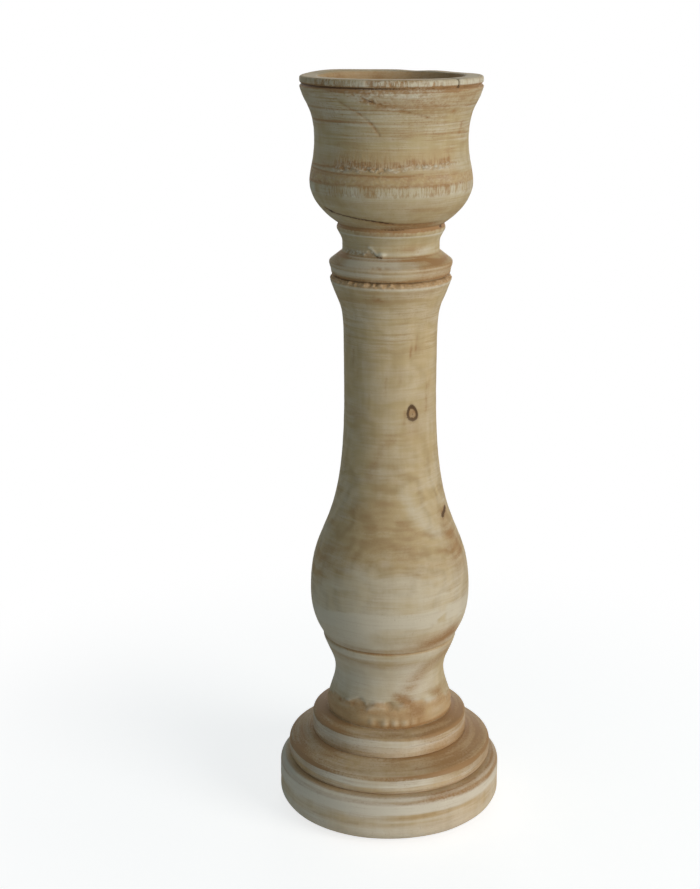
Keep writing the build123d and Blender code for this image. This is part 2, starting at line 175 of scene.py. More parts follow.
def turned(name, line, surface):
    """A turned piece: its half outline carried once round the upright axis, in metres.

    A point at turn t is (r sin t, -r cos t, z). surface(skin) gives the mm that each point stands
    out along the outline's normal, and the tints that the mesh carries for its finish.
    """
    columns = 384
    rows, closed = line
    count = len(rows)
    if closed:
        step = np.roll(rows, -1, 0) - np.roll(rows, 1, 0)
    else:
        step = np.gradient(rows, axis=0)
    step /= np.hypot(*step.T)[:, None]
    run = np.r_[0, np.cumsum(np.hypot(*np.diff(rows, axis=0).T))]
    turn = np.linspace(-np.pi, np.pi, columns, endpoint=False)[None, :] + np.zeros((count, 1))
    out, high = (c[:, None] + 0 * turn for c in rows.T)
    stand, tints = surface(Skin(turn, high, out))
    radius = np.maximum(out + stand * step[:, 1:], 0)
    height = high - stand * step[:, :1]
    spots = np.stack([radius * np.sin(turn), -radius * np.cos(turn), height], -1) / 1000

    i, k = np.meshgrid(np.arange(count if closed else count - 1), np.arange(columns), indexing="ij")
    up, on = (i + 1) % count, (k + 1) % columns
    number = np.arange(count * columns).reshape(count, columns)
    keep = np.arange(count * columns)
    if not closed:
        keep[:columns] = 0
        keep[-columns:] = (count - 1) * columns
        spots[0], spots[-1] = spots[0].mean(0), spots[-1].mean(0)
    quads = np.stack([number[i, k], number[i, on], number[up, on], number[up, k]], -1).reshape(-1, 4)
    used, new = np.unique(keep[quads], return_inverse=True)
    quads = new.reshape(-1, 4)
    faces = quads.tolist()
    if not closed:
        faces[:columns] = quads[:columns, [0, 2, 3]].tolist()
        faces[-columns:] = quads[-columns:, [0, 1, 2]].tolist()
    mesh = bpy.data.meshes.new(name)
    mesh.from_pydata(spots.reshape(-1, 3)[used], [], faces)
    tints = {"run": run[:, None] / 1000 + 0 * turn, **tints}
    for tint, values in tints.items():
        data = mesh.attributes.new(tint, "FLOAT", "POINT").data
        data.foreach_set("value", values.reshape(-1)[used].astype(np.float32))
    mesh.shade_smooth()
    mesh.set_sharp_from_angle(angle=np.radians(60))
    piece = bpy.data.objects.new(name, mesh)
    bpy.context.scene.collection.objects.link(piece)
    return piece


class Tone:
    """A number or colour at each point of a finish; + - * / ** on it add Math nodes."""

    def __init__(self, finish, socket):
        self.finish, self.socket = finish, socket

    def math(self, operation, *others):
        values = dict(enumerate((self,) + others))
        return self.finish.add("Math", {"operation": operation}, values)

    def __add__(self, other):
        return self.math("ADD", other)

    def __sub__(self, other):
        return self.math("SUBTRACT", other)

    def __mul__(self, other):
        return self.math("MULTIPLY", other)

    def __truediv__(self, other):
        return self.math("DIVIDE", other)

    def __pow__(self, other):
        return self.math("POWER", other)

    def __rsub__(self, other):
        return self.finish.add("Math", {"operation": "SUBTRACT"}, {0: other, 1: self})

    __radd__ = __add__
    __rmul__ = __mul__

    def ease(self, low, high):
        """0 below low and 1 above high, by t*t*(3-2*t) between them."""
        return self.finish.add(
            "MapRange", {"interpolation_type": "SMOOTHSTEP"}, {"Value": self, 1: low, 2: high}
        )

    def held(self):
        """The value kept between 0 and 1."""
        return self.finish.add("Clamp", {}, {"Value": self})


class Finish:
    """One material: a Principled surface and the nodes that feed it."""

    def __init__(self, name, **constants):
        self.material = bpy.data.materials.new(name)
        self.material.use_nodes = True
        self.tree = self.material.node_tree
        self.shader = self.tree.nodes["Principled BSDF"]
        for socket, value in constants.items():
            self.shader.inputs[socket.replace("_", " ")].default_value = value

    def add(self, kind, settings, sockets, out=0):
        """A node of this kind: its settings first, then its sockets' values or links."""
        node = self.tree.nodes.new("ShaderNode" + kind)
        for key, value in settings.items():
            setattr(node, key, value)
        for key, value in sockets.items():
            if isinstance(value, Tone):
                self.tree.links.new(value.socket, node.inputs[key])
            else:
                node.inputs[key].default_value = value
        if isinstance(out, tuple):
            return [Tone(self, node.outputs[o]) for o in out]
        return Tone(self, node.outputs[out])

    def place(self):
        """The point's x, y and z on the object, in metres."""
        coordinates = self.add("TexCoord", {}, {}, "Object")
        return self.add("SeparateXYZ", {}, {0: coordinates}, (0, 1, 2))

    def tint(self, name):
        """A value that the mesh carries at each point."""
        return self.add("Attribute", {"attribute_name": name}, {}, "Fac")

    def noise(self, x, y, z, detail, rough=0.5):
        """Smooth noise, about 0.5 on average, that changes over 1 unit of x, y and z."""
        vector = self.add("CombineXYZ", {}, {0: x, 1: y, 2: z})
        sockets = {"Vector": vector, "Scale": 1.0, "Detail": detail, "Roughness": rough}
        return self.add("TexNoise", {}, sockets)

    def cells(self, x, y, z):
        """The distance to the nearest of points scattered one to each unit of x, y and z."""
        vector = self.add("CombineXYZ", {}, {0: x, 1: y, 2: z})
        return self.add("TexVoronoi", {}, {"Vector": vector, "Scale": 1.0}, "Distance")

    def mix(self, share, first, second):
        """The first colour, with this share of the second."""
        settings = {"data_type": "RGBA", "clamp_factor": True}
        return self.add("Mix", settings, {0: share, 6: first, 7: second}, 2)

    def feed(self, socket, tone):
        self.tree.links.new(tone.socket, self.shader.inputs[socket])

    def bump(self, height, depth, strength):
        """Relief for the light: height 0 to 1 over depth metres."""
        sockets = {"Strength": strength, "Distance": depth, "Height": height}
        self.feed("Normal", self.add("Bump", {}, sockets))


def whitewashed(name, pith, wave, shift, wood=TAN, paint=WASH_AND_HIGHLIGHT):
    """The stand's finish on one piece: softwood, thin whitewash, brown glaze, wear, and painted shade and
    highlights.

    Year rings, 8 mm apart, lie round an upright pith line, given in mm, and show by the tint
    figured. Tool lines run round the piece and show by the tint lined: noise that is long round the
    axis and short along the outline. Its broad sweeps stray by wave mm, and shift moves all noise.
    The tint torn shows upright slivers, and the tint crumbled round crumbs. The tints for wash, glaze,
    bare and pits add or take away the finish's layers; the wash also carries painted highlights and
    painted light, and the glaze and pits painted shade.
    """
    f = Finish(name, Specular_IOR_Level=0.25)
    x, y, z = [p * 1000 for p in f.place()]
    run = f.tint("run") * 1000
    lined, figured, torn, crumbled = [f.tint(t) for t in ("lined", "figured", "torn", "crumbled")]
    wander = f.noise(x / 26 + shift, y / 26, z / 26, 2.0)
    away = ((x - pith[0]) ** 2 + (y - pith[1]) ** 2) ** 0.5 + (wander - 0.5) * 34
    ring = (away * (2 * np.pi / 8.0)).math("SINE") * 0.5
    lines = f.noise(x / 40, y / 40 + shift, run + (wander - 0.5) * 1.5, 2.0, 0.6)
    threads = f.noise(x / 13 + shift, y / 13, run / 0.5, 1.0)
    sweeps = f.noise(x / 30, y / 30 + shift, (run + (wander - 0.5) * wave) / 4.5, 2.0, 0.5)
    clouds = f.noise(x / 18 + shift, y / 18, z / 11, 3.0, 0.6)
    grain = f.noise(x / 3.2 + shift, y / 3.2, z / 24, 2.0, 0.5)
    grit = f.noise(x / 1.1, y / 1.1, z / 0.9 + shift, 2.0, 0.65)
    slivers = f.noise(x / 0.9, y / 0.9, z / 4.5 + shift, 3.0, 0.6)
    stir = (grit - 0.5) * 1.1
    crumb = (0.62 - f.cells(x / 1.8 + stir, y / 1.8, z / 1.4 + stir)).ease(0.0, 0.40)

    drift = figured * 0.8 + lined * 0.5
    swept = (sweeps - 0.5) * 1.8 * drift
    busy = lined * (clouds.ease(0.38, 0.58) * 0.8 + 0.2)
    deep = ring * figured + swept + (grain - 0.5) * 0.35 + 0.24
    tan = f.mix(deep.held(), wood, RING_TAN)
    cover = clouds - 0.5 - swept - (grain - 0.5) * 0.4
    cover = cover - (lines - 0.5) * 1.4 * lined - (threads - 0.5) * 0.7 * lined
    # the wash tint brings painted highlights and painted light as well as whitewash
    cover = (cover + f.tint("wash_and_painted_light") + 0.22).held()
    # the glaze tint brings painted shade as well as glaze
    stain_and_shade = f.tint("glaze_and_shade") * (0.80 + (sweeps - 0.5) * 2.2 + (grit - 0.5))
    stain_and_shade = stain_and_shade + busy * (lines.ease(0.54, 0.62) * 0.50 + threads.ease(0.57, 0.64) * 0.24)
    stain_and_shade = stain_and_shade + busy * grit.ease(0.56, 0.66) * 0.46
    stain_and_shade = stain_and_shade + slivers.ease(0.63, 0.72) * clouds.ease(0.47, 0.60) * 0.24
    stain_and_shade = stain_and_shade + (slivers + torn * 0.17).ease(0.57, 0.66) * torn * 0.95
    stain_and_shade = stain_and_shade + (1 - crumb) * crumbled * 0.75
    pale = (torn * 0.15 - slivers).ease(-0.44, -0.34) * torn * grit.ease(0.35, 0.6) * 0.7
    pale = (pale + crumb * crumbled).held()
    bare = (f.tint("bare") * (0.8 + (grit - 0.5) * 0.9)).held()
    # the pit tint brings painted shade as well as cracks and pits
    pit_and_shade = f.tint("pit_and_shade")
    pit_and_shade = pit_and_shade * 0.30 + (pit_and_shade + (grit - 0.5) * 0.6).ease(0.38, 0.62) * 0.60

    colour = f.mix(cover * 0.85, tan, paint)
    colour = f.mix(bare, colour, RAW)
    colour = f.mix(stain_and_shade.held() * 0.92, colour, GLAZE_AND_SHADE)
    colour = f.mix(pale * (0.62 - bare * 0.3), colour, paint)
    colour = f.mix(pit_and_shade.held(), colour, DEEP)
    f.feed("Base Color", colour)
    f.feed("Roughness", (0.64 + cover * 0.12 - stain_and_shade * 0.08 + (grit - 0.5) * 0.12).held())
    height = lined * (lines * 0.35 + threads * 0.2 + grit * 0.3) + grit * 0.15
    f.bump(height + crumb * crumbled * 0.8 + (pale - stain_and_shade * 0.6 - pit_and_shade) * 0.3, 0.0005, 0.75)
    return f.material


def plinth_surface(s):
    """The mm that the plinth stands out, and its tints: a washed shoulder over streaked tan wood."""
    wall = s.belt(2.5, 27.5, 0.6) * (s.out > 40)
    stand = wall * (0.22 * s.patchy(6, 40, 11) + 0.10 * s.patchy(22, 3.2, 12))
    soft = s.patchy(18, 5, 13)
    streak = s.patchy(9, 1.5, 14) + 0.5 * s.patchy(40, 1.0, 16)
    shoulder = band(s.high + 0.7 * soft, 19.4, 24.4, 1.0) * wall
    tan_band = s.belt(12.0, 18.6, 1.4) * wall
    sunny = s.side(35, 130, 25)
    wash_and_painted_light = 0.30 * wall + 0.88 * shoulder * (0.9 + 0.3 * soft) * (1 - 0.5 * sunny)
    wash_and_painted_light += 0.10 * s.belt(3, 10, 2) * wall + (0.34 * s.belt(18, 25, 2) + 0.06) * s.side(-110, -8, 18) * wall
    wash_and_painted_light += 0.20 * wall * s.patchy(7, 9, 15) - 0.28 * tan_band * (0.5 + 0.9 * streak)
    wash_and_painted_light += 0.30 * s.belt(26.4, 27.3, 0.5) * wall
    glaze_and_shade = 0.50 * s.belt(27.6, 28.5, 0.4) * (s.out > 50)
    glaze_and_shade += 0.34 * s.belt(24.6, 26.0, 0.7) * wall * (0.9 + 0.8 * streak)
    glaze_and_shade += 0.16 * np.clip(streak, 0, 1) * tan_band
    glaze_and_shade += (0.50 * s.belt(24.0, 27.6, 0.8) + 0.08) * s.side(28, 120, 18) * wall
    glaze_and_shade += 0.50 * s.stroke(0.9, (-42, 12.6), (-24, 12.2), (-16, 12.8))
    glaze_and_shade += 0.22 * s.stroke(0.8, (-20, 17.2), (12, 16.9), (24, 17.6))
    return stand, {"wash_and_painted_light": wash_and_painted_light, "glaze_and_shade": glaze_and_shade, "bare": (0.06 + 0.10 * sunny) * wall * (1 - shoulder),
                   "lined": 0.22 * wall, "figured": 0.25 * wall}


plinth_line = outline(
    (4.0, [(COUNTERBORE_R, PLINTH_FOOT_Z), (PLINTH_R - PLINTH_FOOT_ROUND, PLINTH_FOOT_Z)]),
    (0.7, bend((PLINTH_R - PLINTH_FOOT_ROUND, PLINTH_FOOT_Z + PLINTH_FOOT_ROUND),
               PLINTH_FOOT_ROUND, -90, 0)),
    (0.8, [(PLINTH_R, PLINTH_FOOT_Z + PLINTH_FOOT_ROUND),
           (PLINTH_R, PLINTH_TOP_Z - PLINTH_SHOULDER_ROUND)]),
    (0.5, bend((PLINTH_R - PLINTH_SHOULDER_ROUND, PLINTH_TOP_Z - PLINTH_SHOULDER_ROUND),
               PLINTH_SHOULDER_ROUND, 0, 90)),
    (4.0, [(PLINTH_R - PLINTH_SHOULDER_ROUND, PLINTH_TOP_Z), (TENON_HOLE_R, PLINTH_TOP_Z)]),
    (3.0, [(TENON_HOLE_R, PLINTH_TOP_Z), (TENON_HOLE_R, MORTISE_Z), (SCREW_HOLE_R, MORTISE_Z)]),
    (3.0, [(SCREW_HOLE_R, MORTISE_Z), (SCREW_HOLE_R, COUNTERBORE_Z),
           (COUNTERBORE_R, COUNTERBORE_Z), (COUNTERBORE_R, PLINTH_FOOT_Z)]),
    wear=0.25,
)
plinth = turned("plinth", plinth_line, plinth_surface)
plinth.data.materials.append(whitewashed("plinth_whitewash", (12, 95), 2.0, 3.0, BASE_TAN_PAINTED_LIGHT, BASE_WASH_PAINTED_LIGHT))
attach(plinth, "stand")
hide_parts("base_plinth")


# Middle disc: turned from the same softwood, with a bevelled lower edge, a rounded brim and a top
# that falls outwards. It is glued to the plinth, with a hole through it for the stem's tenon. The
# glaze lies thick on its top, and the brim is rubbed back to the whitewash.
MIDDLE_R = 56.2
MIDDLE_Z = 28.0
MIDDLE_TOP_Z = 43.0
MIDDLE_BEVEL_W = 1.5
MIDDLE_BEVEL_H = 2.4
MIDDLE_ROUND = 3.5
MIDDLE_FALL = 4.0
MIDDLE_SEAT_R = 43.1
BRIM_TURN = 75


def disc_surface(foot, pale, crown, seat, seed, brow, low):
    """The glazed top, pale edge and washed wall of a base disc, from the heights of its parts, with painted
    shade on the disc's left.

    Pale is the pair of heights between which the wash is rubbed clean; glaze lies above them, in a
    line of the strength brow close by, and at the foot of the wall with the strength low.
    """

    def surface(s):
        shown = s.belt(foot + 0.3, crown + 1, 0.3) * (s.out > seat - 0.2)
        soft = s.patchy(14, 1.5, seed + 2, s.out)
        broad = s.patchy(6, 5, seed + 5, s.out)
        uneven = s.high + 0.5 * s.ragged(22, seed + 6)
        top = band(uneven, pale[1] + 0.3, crown + 2, 0.5) * shown
        rim = band(uneven, *pale, 0.7) * shown
        wall = s.belt(foot, pale[0], 0.8) * shown
        near_seat = band(s.out, seat - 1, seat + 0.8, 1.6) * top
        line = s.belt(pale[1] + 0.6, pale[1] + 1.8, 0.5) * shown
        outwards = np.clip((s.out - seat) / 12, 0, 1)
        warm = s.side(42, 130, 26)
        edge = s.side(58, 130, 14)
        # painted shade: glaze and pits darken the disc's left side
        painted_shade_left = s.side(-130, -48, 24)
        stand = shown * (0.16 * s.patchy(5, 30, seed) + 0.08 * s.patchy(26, 1.3, seed + 1))
        wash_and_painted_light = (0.74 - 0.50 * warm) * rim * (0.9 + 0.3 * s.patchy(16, 6, seed + 3))
        wash_and_painted_light += wall * (0.22 + 0.30 * s.patchy(8, 4, seed + 4)) + 0.15 * outwards * top * (1 - warm)
        glaze_and_shade = top * (0.29 + 0.20 * soft + 0.14 * broad + 0.40 * warm + 0.64 * painted_shade_left - 0.05 * outwards)
        glaze_and_shade += 0.26 * brow * top * s.side(4, 50, 12)
        glaze_and_shade += (0.40 + 0.45 * warm) * near_seat + 0.12 * edge * shown + (0.20 * warm + 0.25 * painted_shade_left) * wall
        glaze_and_shade += (0.46 * warm + 0.30 * painted_shade_left) * rim + brow * line * (1 + 0.4 * warm)
        glaze_and_shade += low * wall * np.clip((pale[0] + 1 - s.high) / (pale[0] - foot), 0, 1)
        pit_and_shade = 0.06 * near_seat + 0.12 * painted_shade_left * shown + 0.20 * top * (1 - warm) * outwards
        pit_and_shade += edge * shown * (0.17 + 0.12 * soft)
        bare = shown * (0.12 + 0.38 * warm) * (1 - rim)
        return stand, {"wash_and_painted_light": wash_and_painted_light, "glaze_and_shade": glaze_and_shade, "bare": bare, "pit_and_shade": pit_and_shade,
                       "lined": 0.40 * shown, "figured": 0.2 * shown}

    return surface


middle_wall_z = MIDDLE_TOP_Z - MIDDLE_FALL - MIDDLE_ROUND
middle_brim = bend((MIDDLE_R - MIDDLE_ROUND, middle_wall_z), MIDDLE_ROUND, 0, BRIM_TURN)
middle_line = outline(
    (4.0, [(TENON_HOLE_R, MIDDLE_Z), (MIDDLE_R - MIDDLE_BEVEL_W, MIDDLE_Z)]),
    (0.5, [(MIDDLE_R - MIDDLE_BEVEL_W, MIDDLE_Z), (MIDDLE_R, MIDDLE_Z + MIDDLE_BEVEL_H)]),
    (0.6, [(MIDDLE_R, MIDDLE_Z + MIDDLE_BEVEL_H), (MIDDLE_R, middle_wall_z)]),
    (0.45, middle_brim),
    (0.6, [middle_brim[-1], (MIDDLE_SEAT_R, MIDDLE_TOP_Z)]),
    (4.0, [(MIDDLE_SEAT_R, MIDDLE_TOP_Z), (TENON_HOLE_R, MIDDLE_TOP_Z)]),
    (4.0, [(TENON_HOLE_R, MIDDLE_TOP_Z), (TENON_HOLE_R, MIDDLE_Z)]),
)
middle_disc = turned(
    "middle_disc",
    middle_line,
    disc_surface(MIDDLE_Z, (32.6, 36.0), MIDDLE_TOP_Z, MIDDLE_SEAT_R, 31, 0.95, 0.0),
)
middle_disc.data.materials.append(
    whitewashed("middle_disc_whitewash", (-20, 80), 2.0, 7.0, BASE_TAN_PAINTED_LIGHT, BASE_WASH_PAINTED_LIGHT)
)
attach(middle_disc, "stand")
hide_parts("base_middle_tier")


# Top disc: the smallest of the three, a low drum with a softened brim and a slightly falling top.
# It is glued to the middle disc, and the stem's foot stands on it with the tenon through its hole.
TOP_R = 42.6
TOP_Z = 43.0
TOP_TOP_Z = 56.0
TOP_ROUND = 1.8
TOP_FALL = 1.8
TOP_SEAT_R = 34.6

top_wall_z = TOP_TOP_Z - TOP_FALL - TOP_ROUND
top_brim = bend((TOP_R - TOP_ROUND, top_wall_z), TOP_ROUND, 0, BRIM_TURN)
top_line = outline(
    (4.0, [(TENON_HOLE_R, TOP_Z), (TOP_R, TOP_Z)]),
    (0.5, [(TOP_R, TOP_Z), (TOP_R, top_wall_z)]),
    (0.4, top_brim),
    (0.5, [top_brim[-1], (TOP_SEAT_R, TOP_TOP_Z)]),
    (4.0, [(TOP_SEAT_R, TOP_TOP_Z), (TENON_HOLE_R, TOP_TOP_Z)]),
    (4.0, [(TENON_HOLE_R, TOP_TOP_Z), (TENON_HOLE_R, TOP_Z)]),
)
top_disc = turned(
    "top_disc",
    top_line,
    disc_surface(TOP_Z, (49.4, 52.6), TOP_TOP_Z, TOP_SEAT_R, 51, 0.30, 0.45),
)
top_disc.data.materials.append(
    whitewashed("top_disc_whitewash", (25, 70), 2.0, 11.0, BASE_TAN_PAINTED_LIGHT, BASE_WASH_PAINTED_LIGHT)
)
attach(top_disc, "stand")
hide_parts("base_top_tier")


# Stem: one long turning of softwood, from a tenon and a foot through a cove, a belly and a slim
# shaft to a flared top. A socket in its top takes the dowel, and the coach screw bites into the
# tenon. The shaft shows a small knot, the foot and the top edge are left rough from the tool.
STEM_Z = 56.0
FOOT_R = 34.1
COVE_Z = 60.5
WAIST_R, WAIST_Z = 29.85, 79.0
COVE_EDGE_R, STEM_GROOVE_Z = 36.4, 99.5
STEM_GROOVE_R = 35.6
BELLY_FOOT_R, BELLY_FOOT_Z = 36.7, 101.3
BELLY_R, BELLY_Z = 43.2, 125.4
SHAFT_R, SHAFT_Z = 24.4, 237.0
SHAFT_TOP_R, SHAFT_TOP_Z = 24.5, 262.0
STEM_TOP_R, STEM_EDGE_Z = 31.7, 297.5
JOINT_R, JOINT_Z = 29.8, 299.0
TENON_R, TENON_Z, TENON_CHAMFER = 14.0, 20.5, 1.5
SOCKET_R, STEM_SOCKET_Z = 10.1, 271.0
STEM_SCREW_R, STEM_SCREW_CORE_R = 4.1, 3.0
STEM_SCREW_Z, STEM_SCREW_END_Z = 62.2, 68.3
KNOT = (28.0, 229.7)                    # its angle and height
STEM_TAN = (0.57, 0.43, 0.235, 1)       # its wood, a little redder
STEM_WASH_AND_PAINTED_LIGHT = (0.70, 0.62, 0.49, 1)       # and its wash, also its painted highlights and painted light


def cubic(controls, count):
    """Points of a cubic curve: at t its controls weigh (1-t)^3, 3t(1-t)^2, 3t^2(1-t) and t^3."""
    t = np.linspace(0, 1, count)[:, None]
    shares = np.hstack([(1 - t) ** 3, 3 * t * (1 - t) ** 2, 3 * t**2 * (1 - t), t**3])
    return shares @ np.array(controls)


def cut(start, end, holds, slopes=(0, 0)):
    """One sweep of the gouge: a cubic curve between two points of radius and height.

    The slopes are the change of radius over height at its ends, and the holds the shares of its
    height over which it keeps close to them, so they place the curve's two inner control points.
    """
    height = end[1] - start[1]
    leave, arrive = holds[0] * height, holds[1] * height
    first = (start[0] + slopes[0] * leave, start[1] + leave)
    second = (end[0] - slopes[1] * arrive, end[1] - arrive)
    return cubic([start, first, second, end], 400)


def stem_surface(s):
    """The mm that the stem stands out, and its tints, from its chipped top edge to its foot."""
    shown = s.belt(STEM_Z + 0.2, JOINT_Z - 0.2, 0.3) * (s.out > 20)
    soft = s.patchy(9, 14, 67)
    stand = shown * (0.16 * s.patchy(4, 60, 61) + 0.05 * s.patchy(14, 2.2, 62))

    # The chipped edge under the cup: crumbs with brown between them, and a painted highlight as a pale line
    # below
    chips = s.belt(296.8, 299.2, 0.4) * shown
    lumps = s.patchy(84, 2.0, 63) + 0.8 * s.patchy(150, 1.4, 64)
    stand += chips * (0.45 * lumps - 0.15)
    crumbled = 0.26 * chips
    # the pale line just below the chips is a painted highlight
    wash_and_painted_light = 0.60 * s.belt(295.7, 296.5, 0.5) + 0.30 * chips * np.clip(lumps, 0, 1)
    glaze_and_shade = chips * 0.25 * np.clip(-lumps, 0, 1) + 0.55 * s.belt(299.0, 300, 0.4) * shown
    pit_and_shade = 0.25 * chips * np.clip(-lumps - 0.5, 0, 1)
    # painted shade: the joint under the cup is darker on the left
    pit_and_shade += s.belt(299.1, 300, 0.3) * shown * (0.05 + 0.30 * s.side(-120, -30, 40))
    bare = 0.85 * chips
    dots = s.spot(-11, 290.9, 3.2, 1.2) + 0.6 * s.spot(-17, 292.6, 2.0, 0.8)
    glaze_and_shade += 1.3 * dots * (0.6 + s.patchy(90, 1.6, 69))
    pit_and_shade += 0.45 * dots * np.clip(s.patchy(110, 1.2, 66), 0, 1)
    glaze_and_shade += 0.18 * s.belt(286, 294.6, 2.0) * (0.6 + s.patchy(7, 3, 59))

    # The shaft: a small knot, brown clouds and a few upright ticks
    a = s.across(KNOT[0]) + 0.12 * (s.high - KNOT[1])
    h = s.high - KNOT[1]
    eye = np.hypot(a / (2.9 - 0.16 * h), h / 4.0)
    knot_rim = np.exp(-(((eye - 0.90) / 0.32) ** 2))
    knot_in = band(eye, -1, 0.75, 0.25)
    stand += 0.16 * knot_rim - 0.12 * knot_in
    pit_and_shade += 0.98 * knot_rim * (0.9 + 0.20 * np.clip(h / 4, -1, 1)) + 0.45 * s.spot(28.5, 229.2, 0.9, 2.2)
    glaze_and_shade += 0.85 * knot_rim + 0.6 * knot_in + 0.30 * s.spot(30, 221, 4.5, 6)
    glaze_and_shade += 0.42 * s.spot(-46, 228, 8, 2.6) + 0.24 * s.spot(52, 231, 4, 3)
    glaze_and_shade += 0.34 * s.spot(5, 218.4, 8, 0.9) + 0.34 * s.spot(4, 215.6, 10, 0.9)
    glaze_and_shade += 0.34 * s.stroke(2.6, (-25, 196), (-19, 203), (-9, 212), (2, 215))
    faded = 0.5 + 0.5 * s.patchy(90, 3, 73)
    for angle, low, top, strength in (
        (-52, 254, 262, 0.8), (-44, 248, 252, 0.5), (25, 260, 268, 0.8), (32, 263, 270, 0.8),
        (12, 246, 254, 0.6), (-6, 240, 249, 0.5), (50, 230, 244, 0.9), (55, 238, 246, 0.7),
        (17, 224, 231, 0.7), (-28, 232, 239, 0.5),
    ):
        glaze_and_shade += strength * s.stroke(0.8, (angle, low), (angle + 1, top)) * faded
    wash_and_painted_light += 0.14 * soft * shown - 0.12 * s.belt(196, 266, 14)

    # The belly: brown arches of the grain, a slit knot at the right, a pale band rubbed below
    bow = s.high + 0.0055 * np.clip(s.angle + 8, -75, 75) ** 2
    bow += 1.6 * s.patchy(11, 15, 74) + 0.6 * s.patchy(34, 6, 75)
    arches = 0.5 + 0.5 * np.cos(bow * (2 * np.pi / 6.5) - 0.9)
    brown = band(bow, 156, 170, 13) * (0.25 + 0.75 * s.side(-90, 14, 22))
    upper = band(bow, 180, 186, 3.5) * s.side(-70, 2, 18)
    glaze_and_shade += brown * (0.28 + 0.18 * arches * (0.7 + 0.5 * s.patchy(7, 12, 76)))
    glaze_and_shade += 0.26 * upper + 0.14 * arches * s.belt(172, 200, 8)
    clear = s.stroke(3.4, (15, 187), (24, 178), (38, 168), (50, 163))
    glaze_and_shade -= 0.35 * clear
    wash_and_painted_light += 0.42 * clear - 0.20 * brown
    glaze_and_shade += 0.45 * s.stroke(1.5, (8, 173), (24, 167), (52, 163))
    glaze_and_shade += 0.42 * s.stroke(1.3, (80, 151.5), (55, 148.6), (31, 150.5))
    glaze_and_shade += 0.30 * s.stroke(1.3, (82, 158), (62, 154.8), (44, 156))
    wash_and_painted_light += 0.40 * s.spot(-4, 153, 3.0, 2.0)
    slit = s.stroke(1.4, (62, 171.5), (66, 172.8), (73, 174.4))
    pit_and_shade += 0.95 * slit
    glaze_and_shade += slit + 0.70 * s.spot(66, 172.6, 7, 2.6)
    glaze_and_shade += 0.90 * s.spot(66, 163, 8, 6) + 0.55 * s.spot(70, 150, 9, 8)
    wash_and_painted_light += 0.36 * s.belt(124, 140, 12)
    uneven = s.high + s.ragged(11, 72) + 0.0012 * s.angle**2
    ragged_end = s.angle + 1.6 * (121 - s.high) + 5 * s.patchy(60, 1.6, 71)
    white = band(uneven, 118.4, 125.0, 1.2) * band(ragged_end, -70, 38, 4)
    white += 0.9 * s.belt(119.6, 126, 2.2) * s.side(47, 110, 6)
    # besides the rubbed pale band, the belly's underside from 102 to 117 mm is lightened as painted light
    wash_and_painted_light += 0.75 * white * (0.9 + 0.25 * s.patchy(20, 4, 68)) + 0.42 * s.belt(102, 117, 2.0)
    # painted light on the shaded left, from the cove up to the belly
    wash_and_painted_light += 0.32 * s.belt(70, 117, 8) * s.side(-130, -18, 20)
    glaze_and_shade += 0.80 * s.belt(100.0, 100.9, 0.6) * (0.35 + 0.65 * s.side(-130, -2, 25))
    glaze_and_shade += 0.30 * s.belt(100.9, 103, 1.5) * s.side(-100, 20, 15)
    glaze_and_shade += 0.95 * s.spot(42, 105.2, 14, 4.0) + 0.80 * s.spot(57, 109.2, 9, 4.5)
    bare += 0.60 * s.spot(46, 106.4, 18, 5.0)
    pit_and_shade += 0.20 * s.belt(100.2, 100.7, 0.4) * s.side(-130, -10, 30)

    # The cove: a painted highlight under its edge, then browner, with a brown sweep down its right, and
    # painted light on its left
    wash_and_painted_light += 0.55 * s.belt(96.0, 99.2, 1.0) * (0.8 + 0.6 * s.patchy(12, 3, 77))
    glaze_and_shade += 0.26 * s.belt(91, 94.5, 2.0) * (0.7 + s.patchy(8, 5, 78))
    # painted light in the belly's shadow on the cove's left and front
    wash_and_painted_light += 0.55 * s.belt(73, 90, 5) * (0.9 + 0.3 * soft) * s.side(-120, 25, 25)
    glaze_and_shade += 0.60 * s.stroke(4.5, (64, 95), (37, 88.5), (24, 79), (17, 73))
    wash_and_painted_light += 0.45 * s.spot(48, 78, 8, 8)

    # The rough foot: soft crumbs along a torn line, brown smears under it, painted shade in the torn line's
    # hollows, beads at the bottom
    torn_line = 68.2 + 1.2 * s.ragged(34, 79) + 1.8 * np.clip(np.abs(s.angle) / 40, 0, 1)
    torn_line -= 0.0008 * s.angle**2
    crumbs = s.patchy(58, 2.2, 65) + 0.5 * s.patchy(110, 1.4, 66)
    foot = s.belt(57.5, torn_line - 0.8, 2.6) * shown
    lip = s.belt(torn_line - 2.0, torn_line + 1.2, 1.2) * shown
    smear = s.patchy(11, 2.6, 80) + 0.5 * s.patchy(26, 2.0, 60)
    hills = s.patchy(24, 4.0, 70)
    stand += lip * (0.30 * crumbs + 0.65 * hills) + foot * (0.30 * smear + 0.35 * hills)
    wash_and_painted_light += 0.45 * lip * np.clip(crumbs, 0, 1)
    bare += foot * (0.74 + 0.20 * smear)
    glaze_and_shade += 0.50 * lip * np.clip(0.2 - crumbs, 0, 1) + foot * (0.20 + 0.42 * smear)
    glaze_and_shade += 0.70 * s.stroke(2.6, (7, 73.5), (18, 69.5), (31, 65.5)) + 0.60 * s.spot(26, 64.5, 6, 2.2)
    glaze_and_shade += 0.45 * s.spot(48, 73, 7, 2.6) + 0.85 * s.spot(60, 69.8, 5.5, 3.0)
    glaze_and_shade += 0.5 * s.spot(-38, 65, 9, 2.0)
    light = s.spot(41, 70.2, 3.2, 1.8) + 0.7 * s.spot(46, 62, 7, 2.0)
    wash_and_painted_light += 0.55 * light
    glaze_and_shade -= 0.40 * light
